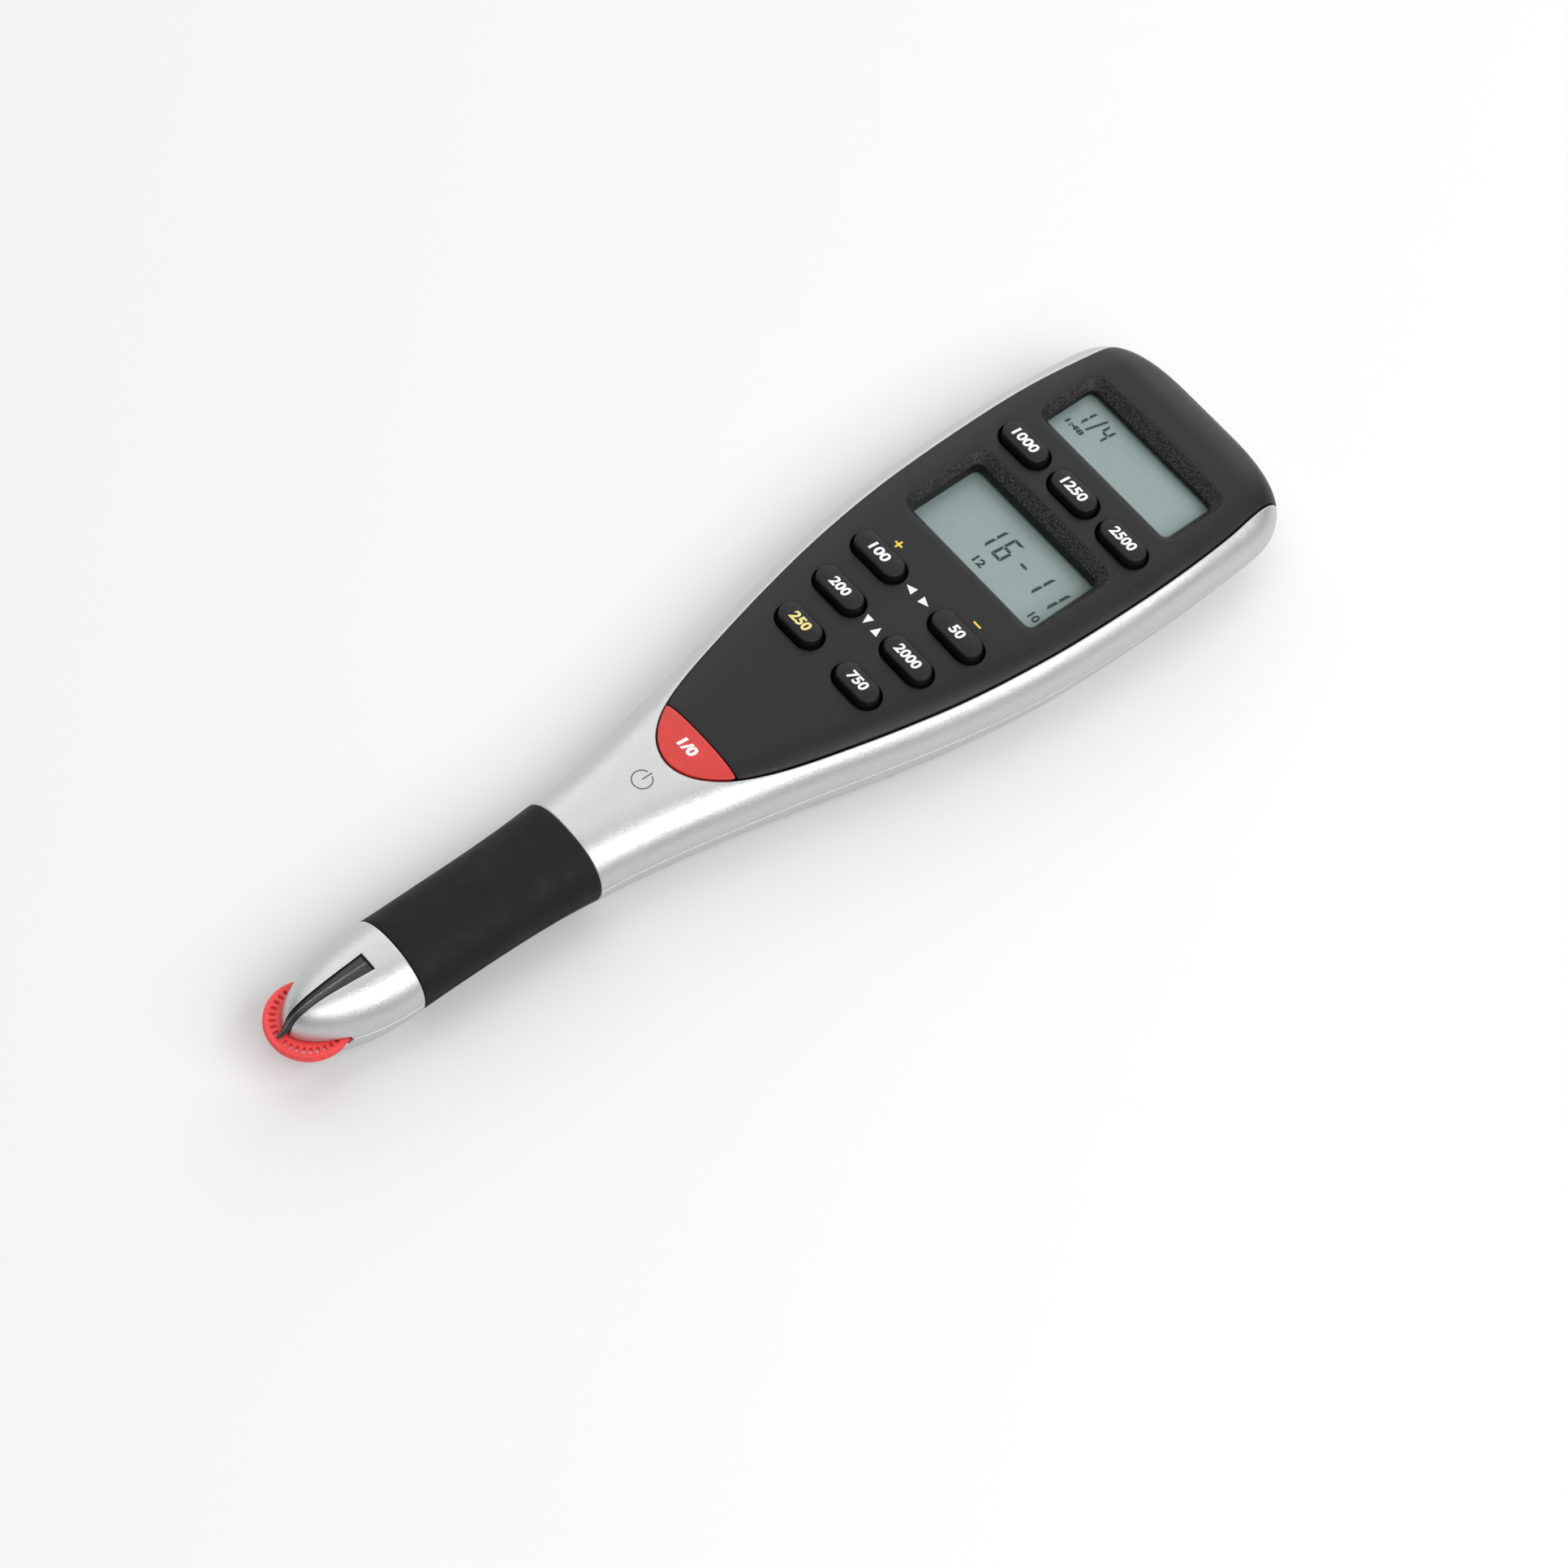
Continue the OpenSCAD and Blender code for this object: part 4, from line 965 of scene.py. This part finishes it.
pointer_s = pointer_from - (pointer_from - pointer_bend) * np.sin(np.linspace(0, pi / 2, 26))
pointer_top = np.stack([pointer_s, parting_z + rise(pointer_s) - pointer_recess], -1)
pointer_tip = [(2.62, 10.3), (2.3, 9.66), (1.95, 9.25), (1.45, 8.98), (0.8, 8.75)]
pointer_line = evenly(np.concatenate([pointer_top, pointer_tip]), 0.3)
for _ in range(8):
    pointer_line[1:-1] = pointer_line[1:-1] / 2 + (pointer_line[:-2] + pointer_line[2:]) / 4
place = pointer_line[:, 0]
ridge_ends = np.clip((place - ridge_from) / ridge_rise, 0, 1) * np.clip((ridge_to - place) / ridge_stop, 0, 1)
pointer_strip = strip_along(pointer_line, np.interp(place, *zip(*pointer_plan)),
                            np.interp(place, *zip(*pointer_thin)), ridge_h * ridge_ends)
piece("pointer_strip", [pointer_strip], [pointer_grey, painted_ridge_highlight], "base", ["pointer_insert"],
      smooth=30)

# Faceplate
# A satin black cover set into the housing, with nine openings for the keys and a sloped frame round
# each display. It rolls over the top end, down to the parting plane.
panel_foot, bow_r, panel_edge, panel_t = 79.2, 78, 0.18, 1.4
display_w, bezel_z, bezel_rise, bezel_side, bezel_head, bezel_foot = 27.4, 12.9, 1.4, 1.35, 1.9, 1.15
bezel_corner, bezel_growth, bezel_over = 1.1, 1.5 / 1.82, 0.14
bezel_top_edge, bezel_foot_edge = [(0.05, -0.02), (-0.04, -0.07)], [(0.12, 0.1), (0.03, 0.02), (0, -0.1)]
lens_gap, lens_cover, key_gap, key_lip = 0.03, 1.0, 0.35, 0.15
displays = [("upper", 163.75, 10, 11.7), ("main", 138.25, 14.1, 10.8)]
key_h = 4.7
key_plan = [(-11.1, 152, 9.4), (0, 152, 9.4), (11.1, 152, 9.4), (-8.8, 120.6, 10.3), (8.8, 120.6, 10.3),
            (-7.7, 111.8, 9.7), (7.7, 111.8, 9.7), (-6.5, 103, 8.7), (6.5, 103, 8.7)]
face_black = finish("face_black", (0.01, 0.01, 0.012), 0.4, specular=0.3)
cloud = pattern(face_black, 12, Detail=3)
spread(face_black, cloud, 0.38, 0.46, "Roughness")
relief(face_black, pattern(face_black, 0.18, Detail=3), 0.01)
dust = pattern(face_black, 1.3, kind="Voronoi", output="Distance")
spread(face_black, dust, (0.12, 0.12, 0.12), (0.01, 0.01, 0.012), "Base Color", 0.02, 0.05)
slope_black = finish("slope_black", (0.012, 0.012, 0.014), 0.4, specular=0.2)
# The frame slopes carry a fine grain: its bump is the real texture, and its lighter specks in the base colour
# are painted glints that stand in for light sparkling on the textured black.
grain_and_glints = pattern(slope_black, 0.22, Detail=3)
spread(slope_black, grain_and_glints, (0.001, 0.001, 0.0015), (0.06, 0.06, 0.064), "Base Color", 0.42, 0.7)
relief(slope_black, grain_and_glints, 0.08)
wall_black = finish("wall_black", (0.004, 0.004, 0.005), 0.35, specular=0.2)
relief(wall_black, pattern(wall_black, 0.4), 0.006)


def pill(wide, high, steps=7):
    """The outline of a key: a rectangle with ends as round as they can be."""
    return rect_line(wide, high, min(wide, high) / 2, 0.8, steps)


def display_frame(s, high, glass_top):
    """The opening of a display: its outline on the face, and its rings down to the lens."""
    def corners(rise_at):
        reach = rise_at / bezel_rise
        outline = round_rect(display_w + 2 * bezel_side * reach, high + (bezel_head + bezel_foot) * reach,
                             bezel_corner + bezel_growth * rise_at, 4)
        return outline + [0, (bezel_head - bezel_foot) * reach / 2 + s]

    both = filled(np.concatenate([corners(0), corners(1)], 1), 0.8)
    foot_line, growth = both[:, :2], both[:, 2:] - both[:, :2]
    top = np.full(len(both), bezel_rise)
    for _ in range(5):
        place = foot_line + growth * top[:, None]
        top = upper.point(*upper.spot(*place.T))[:, 2] - bezel_z

    def ring_at(out, z, wider=0.0):
        line = foot_line + growth * np.reshape(out, (-1, 1)) + np.sign(foot_line - [0, s]) * wider
        return np.c_[line[:, 0], line[:, 1] - length / 2, np.broadcast_to(z, len(line))]

    levels = [ring_at(top + out, bezel_z + top + higher) for out, higher in bezel_top_edge]
    levels += [ring_at(out, bezel_z + higher) for out, higher in bezel_foot_edge]
    levels += [ring_at(0, glass_top + lens_gap, wider) for wider in (0, lens_cover)]
    rim = foot_line + growth * (top[:, None] + bezel_over)
    return np.stack(upper.spot(*rim.T), -1), lambda *_: (levels, [0, 0, 1, 1, 1, 2, 2])


def bow_at(skin, radius, x_from, x_to, count):
    """A stretch of the bow between the face and the red key, in (q, p)."""
    x = np.linspace(x_from, x_to, count)
    return np.stack(skin.spot(x, bow_middle + np.sqrt(radius ** 2 - x ** 2)), -1)


bow_middle = panel_foot - bow_r
face_line = evenly(face_side(-panel_edge), 0.05)
panel_bow_r = bow_r + panel_edge
corner = int(np.argmax(np.hypot(face_line[:, 0], face_line[:, 1] - bow_middle) > panel_bow_r))
panel_side = up_to_seam(upper, face_line[corner:], 0.8)
bow_line = bow_at(upper, panel_bow_r, -face_line[corner, 0], face_line[corner, 0], 24)
bow_line[-1], bow_line[0] = panel_side[0], panel_side[0] * over
end_p = np.linspace(panel_side[-1, 1], path_of(length - 0.002), 22)
end_side = np.stack([seam(upper, end_p), end_p], -1)
end_row = evenly([end_side[-1], end_side[-1] * over], 0.8)
panel_line = closed(bow_line, panel_side, end_side, end_row, end_side[::-1] * over, panel_side[::-1] * over)
face_loops = [(panel_line, rounded_edge(panel_edge, panel_t))]
for x, s, wide in key_plan:
    key_hole = pill(wide + 2 * key_gap, key_h + 2 * key_gap)
    face_loops.append((opening(upper, key_hole, x, s), rounded_edge(key_lip, panel_t)))
for name, s, high, glass_top in displays:
    face_loops.append(display_frame(s, high, glass_top))
face = moulding(upper, face_loops, panel_t, grid=0.75)
piece("face_cover", [face], [face_black, slope_black, wall_black], "base", ["faceplate"])

# Printed marks of the face
# Small screen-printed signs in yellow and white: plus and minus above the first pair of keys, and two
# arrow heads each between the keys of that pair and of the next.
def printed_ink(name, colour):
    """Screen-printing ink, a little uneven in its gloss."""
    made = finish(name, colour, 0.5)
    worn = pattern(made, 0.12, Detail=3)
    spread(made, worn, 0.4, 0.6, "Roughness")
    relief(made, worn, 0.004)
    return made


def arrow(x, s, wide, high, turn):
    """An arrow head that points along turn, in degrees, where 0 is to the right."""
    points = np.array([(0.5, 0), (-0.5, 0.5), (-0.5, -0.5)]) * [wide, high]
    c, d = cos(radians(turn)), sin(radians(turn))
    return laid(upper, prism(points @ np.array([[c, d], [-d, c]]), print_t), x, s)


def printed_bar(wide, high):
    """A printed bar that lies across its own middle."""
    corners = np.array([(-0.5, -0.5), (0.5, -0.5), (0.5, 0.5), (-0.5, 0.5)])
    return prism(corners * [wide, high], print_t)


mark_white = printed_ink("printed_white", (0.78, 0.78, 0.78))
mark_yellow = printed_ink("printed_yellow", (0.86, 0.58, 0.05))
arrow_plan = [(-1.85, 120.8, 1.5, 180), (1.4, 120.8, 1.5, 0), (-1.45, 111.8, 1.4, -90),
              (0.95, 111.8, 1.4, 90)]
arrow_wide = 1.7
arrows = [arrow(x, s, arrow_wide, high, turn) for x, s, high, turn in arrow_plan]
sign_l, sign_w, sign_s, plus_x, minus_x = 1.5, 0.32, 124.6, -8.9, 9.0
signs = [laid(upper, printed_bar(sign_l, sign_w), x, sign_s) for x in (plus_x, minus_x)]
signs.append(laid(upper, printed_bar(sign_w, sign_l), plus_x, sign_s, sink=0.012))
piece("arrow_marks", arrows, [mark_white], "base")
piece("sign_marks", signs, [mark_yellow], "base")

# Display windows
# A flat clear acrylic lens with polished, slightly rounded edges lies under each opening of the face,
# just above the display's glass.
clear_acrylic = finish("clear_acrylic", (0.05, 0.06, 0.06), 0.04, specular=1)
clear_acrylic.node_tree.nodes["Principled BSDF"].inputs["Alpha"].default_value = 0.06
smear = pattern(clear_acrylic, 7, Detail=3)
spread(clear_acrylic, smear, 0.03, 0.09, "Roughness")
lens_corner, lens_edge, lens_spare = 0.5, 0.08, 0.1
for name, s, high, glass_top in displays:
    low, tall = (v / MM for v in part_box(name + "_window"))
    outline = rect_line(tall.x - low.x, tall.y - low.y, lens_corner, 2, steps=3)
    lens = plate(Level(0, s, glass_top), outline, lens_edge, tall.z - low.z - lens_spare, grid=3)
    piece(name + "_lens", [lens], [clear_acrylic], "base", [name + "_window"])

# Keys
# Nine moulded rubber keys with glossy upright sides, a rounded brim and a satin, slightly domed top
# that carries a printed number. Each has a flange under the face and a plunger over its contact.
key_top, key_round, key_draft, key_dome, key_foot, cap_t = 15.9, 0.45, 0.35, 0.15, 12.15, 2.6
flange_wide, flange_t, flange_edge, plunger_inset, plunger_top, plunger_t = 0.6, 0.9, 0.1, 1.2, 11.5, 2.6
digit_w, digit_h, digit_bold, digit_lean = 1.2, 1.8, 0.035, 0.1
key_numbers = ["1000", "1250", "2500", "100", "50", "200", "2000", "250", "750"]
key_black = finish("key_black", (0.011, 0.011, 0.0125), 0.46, specular=0.26)
relief(key_black, pattern(key_black, 0.22, Detail=4), 0.02)
matting = pattern(key_black, 2.5, Detail=3)
spread(key_black, matting, 0.42, 0.54, "Roughness")
key_side = finish("key_side", (0.006, 0.006, 0.007), 0.24, specular=0.4)
relief(key_side, pattern(key_side, 0.6, (1, 1, 0.3)), 0.01)
key_yellow = finish("key_yellow", (0.78, 0.66, 0.23), 0.5)
spread(key_yellow, pattern(key_yellow, 0.12), 0.4, 0.6, "Roughness")


class KeyTop(Surface):
    """The domed top of a key, whose middle stretch is straight."""

    def __init__(self, x, s, straight, radius):
        self.at, self.straight, self.radius = np.array([x, s - length / 2, key_top]), straight, radius

    def point(self, q, p):
        out = np.hypot(np.maximum(abs(q) - self.straight / 2, 0), p) / self.radius
        return self.at + np.stack([q, p, -key_dome * out ** 2], -1)


def brim(rim, out, up):
    """The rounded brim of a key and its drafted side, both square to the key's travel."""
    out = out * [1, 1, 0]
    out /= np.linalg.norm(out, axis=1, keepdims=True)
    levels, _ = rounded_edge(key_round, 0, steps=4, draft=-key_draft)(rim, out, np.array([0, 0, 1]))
    levels[-1][:, 2] = key_foot
    return levels, [0, 0, 1, 1, 1]


def key_part(x, s, wide):
    """The cap of a key, its flange under the face and its plunger, and the top that takes the print."""
    inset = 2 * (key_round + key_draft)
    top = KeyTop(x, s, wide - key_h, (key_h - inset) / 2)
    parts = [moulding(top, [(pill(wide - inset, key_h - inset, 8)[::-1], brim)], cap_t, grid=0.45)]
    for z, wider, thick in ((key_foot, flange_wide, flange_t), (plunger_top, -plunger_inset, plunger_t)):
        outline = pill(wide + 2 * wider, key_h + 2 * wider)
        parts.append(plate(Level(x, s, z), outline, flange_edge, thick, grid=2))
    return top, parts


for number, ((x, s, wide), legend) in enumerate(zip(key_plan, key_numbers), 1):
    top, parts = key_part(x, s, wide)
    digits = lettering(legend, digit_w * len(legend) + 0.05, digit_h, digit_bold, digit_lean)
    ink = key_yellow if number == 8 else mark_white
    parts.append(laid(top, digits, 0, 0, shade=2))
    piece(f"key_{number}_cap", parts, [key_black, key_side, ink], f"button_{number}", [f"key_{number}"])

# Power key
# A red crescent at the foot of the face, moulded in the same red as the wheel. It stands slightly
# proud of the case and is marked on and off; a thin ring sign is printed on the case below it.
power_edge, power_gap, power_lift, power_side, power_draft, power_wall = 0.15, 0.2, 0.2, 1.6, 0.3, 1.2
on_off_x, on_off_s, on_off_wide, on_off_high, on_off_bold = -0.1, 76.1, 3.2, 1.9, 0.05
stem_s, stem = 76.35, [(1.4, 8.9), (1.5, 9), (1.5, 12.6)]
ring_r, ring_w, ring_gap, ring_s, bar_w, bar_l, bar_s = 1.68, 0.2, 36, 67.3, 0.2, 1.9, 68.25
power_red = red_plastic("power_red", (0.62, 0.036, 0.03), 0.4)
key_line = evenly(face_side(-power_edge), 0.05)
power_bow_r = bow_r - power_gap - power_edge
key_line = key_line[:int(np.argmin(np.hypot(key_line[:, 0], key_line[:, 1] - bow_middle) < power_bow_r))]
raised = upper_skin(power_lift)
side = evenly(np.stack(raised.spot(*key_line.T), -1), 0.35)
top_line = bow_at(raised, power_bow_r, key_line[-1, 0], -key_line[-1, 0], 36)
top_line[0], top_line[-1] = side[-1], side[-1] * over
power_edges = rounded_edge(power_edge, power_side, draft=power_draft)
power_cap = moulding(raised, [(closed(side, top_line, side[::-1] * over), power_edges)], power_wall, grid=0.5)
on_off = lettering("1/0", on_off_wide, on_off_high, on_off_bold, digit_lean)
power_parts = [power_cap, laid(raised, on_off, on_off_x, on_off_s, shade=1),
               turned(stem, 0, stem_s - length / 2, 0, 24)]
piece("power_cap", power_parts, [power_red, mark_white], "power", ["power_key"])


def arc_band(radius, width, gap, count=48):
    """A flat ring with a gap at the top, whose angle is in degrees, as a closed part."""
    rings = []
    for angle in np.radians(np.linspace(90 + gap / 2, 450 - gap / 2, count)):
        section = [(radius - width, 0), (radius - width, print_t), (radius, print_t), (radius, 0)]
        rings.append([(r * cos(angle), r * sin(angle), z) for r, z in section])
    return tube(rings)


mark_grey = printed_ink("printed_grey", (0.09, 0.09, 0.1))
ring_sign = laid(upper, arc_band(ring_r, ring_w, ring_gap), 0, ring_s)
bar_sign = laid(upper, printed_bar(bar_w, bar_l), 0, bar_s)
piece("power_sign", [ring_sign, bar_sign], [mark_grey], "base")

# Grips
# Two half sleeves of matt black rubber, one on each half of the case. They are moulded over the
# barrel, so that they lie flush with the silver on either side.
grip_gap = 0.03
grip_black = finish("grip_rubber", (0.007, 0.007, 0.009), 0.6, specular=0.2)
rubber_cloud = pattern(grip_black, 3, Detail=4)
spread(grip_black, rubber_cloud, 0.54, 0.68, "Roughness")
relief(grip_black, pattern(grip_black, 0.16, Detail=4), 0.014)
for node, half in (("grip_upper", upper), ("grip_lower", lower)):
    grip_line = band(half, grip_from + edge_r + grip_gap, grip_to - edge_r - grip_gap, step=0.6)
    sleeve = moulding(half, [(grip_line, rounded_edge(edge_r, wall_t))], wall_t, grid=0.7)
    piece(node + "_sleeve", [sleeve], [grip_black], "base", [node])

# Case screws
# Five small steel screws with cross slots, sunk in the back, hold the two halves together. They are
# laid out with Geometry Nodes, each turned as it happened to stop.
screw_head_r, screw_head_edge, screw_len = 1.8, 0.3, 9.2
arm, half_arm, cross_edge, cross_deep = 1.0, 0.2, 0.03, 0.7
thread_r, core_r, thread_from, thread_turns, pitch, shank_from, point_r = 0.95, 0.76, 1.15, 11, 0.7, 0.8, 0.6
steel = finish("screw_steel", (0.5, 0.5, 0.5), 0.28, metallic=1.0)
lathe = pattern(steel, 0.25, (1, 1, 5), Detail=4)
spread(steel, lathe, 0.22, 0.4, "Roughness")
relief(steel, lathe, 0.006)
quarter = [np.array([(half_arm, arm), (half_arm, half_arm), (arm, half_arm)])]
for _ in range(3):
    quarter.append(np.stack([quarter[-1][:, 1], -quarter[-1][:, 0]], -1))
head_loops = [(ring(screw_head_r - screw_head_edge, 40), rounded_edge(screw_head_edge, screw_head_t)),
              (np.concatenate(quarter), rounded_edge(cross_edge, cross_deep, steps=1))]
head = moulding(Level(0, length / 2, 0, -1), head_loops, screw_head_t, grid=0.5)
thread = [(thread_r if k % 2 else core_r, thread_from + k * pitch / 2) for k in range(2 * thread_turns)]
shank = turned([(point_r, shank_from)] + thread + [(0.4, screw_len)], 0, 0, 0, 20)
one_screw = (np.concatenate([head[0], shank[0]]),
             [list(f) for f in head[1]] + [[k + len(head[0]) for k in f] for f in shank[1]], [])
spots = [(x, s - length / 2, screw_floor, 0) for x, s in screw_spots]
screws = set_out("case_screw", one_screw, spots, steel, loose=tau)
piece("back_screws", [screws], [steel], "base", ["case_screws"])

# Table, light and camera
# A pale table top under an even white surround. Five soft lights stand round it: the key light to
# the right of the camera, one above on the left, and weaker ones at the left, the front and the end.
reach = 3.0
table_mesh = bpy.data.meshes.new("table_top")
corners = [(x * reach, y * reach, 0) for x, y in ((-1, -1), (1, -1), (1, 1), (-1, 1))]
table_mesh.from_pydata(corners, [], [(0, 1, 2, 3)])
table_mesh.materials.append(finish("table_paint", (0.8, 0.8, 0.8), 0.6, specular=0.2))
placed("table_top", table_mesh)

world = bpy.data.worlds.new("studio")
bpy.context.scene.world = world
world.use_nodes = True
set_inputs(world.node_tree.nodes["Background"], {"Color": (1, 1, 1, 1), "Strength": 0.27})


def softbox(name, direction, distance, across, along, power):
    """A rectangular light that faces the middle of the tool, its second side along the tool."""
    lamp = bpy.data.lights.new(name, "AREA")
    lamp.shape = "RECTANGLE"
    lamp.size, lamp.size_y, lamp.energy = across, along, power
    back = Vector(direction).normalized()
    side = Vector((0, 1, 0)).cross(back).normalized()
    turned_to = Matrix((side, back.cross(side), back)).transposed().to_4x4()
    placed(name, lamp).matrix_world = Matrix.Translation(back * distance) @ turned_to


softbox("key_light", (0.64, 0.1, 0.75), 0.9, 0.6, 1.0, 6.5)
softbox("top_light", (-0.5, 0.41, 0.78), 1.1, 1.3, 1.7, 6.7)
softbox("left_light", (-0.9, 0.25, 0.32), 1.0, 0.8, 1.2, 1.6)
softbox("front_light", (0.02, -0.42, 0.84), 1.0, 0.9, 0.3, 1.1)
softbox("end_light", (-0.35, 0.9, 0.3), 1.0, 0.7, 0.7, 2)

camera_data = bpy.data.cameras.new("camera")
camera_data.lens, camera_data.sensor_width, camera_data.clip_start = 132.65, 36, 0.01
camera = placed("camera", camera_data)
right, above, back = (0.6437, 0.7577, 0.1075), (-0.6831, 0.5055, 0.5271), (0.3451, -0.4127, 0.8430)
axes = Matrix((right, above, back)).transposed().to_4x4()
camera.matrix_world = Matrix.Translation((0.3026, -0.3540, 0.7218)) @ axes
bpy.context.scene.camera = camera
bpy.context.scene.view_settings.view_transform = "Standard"
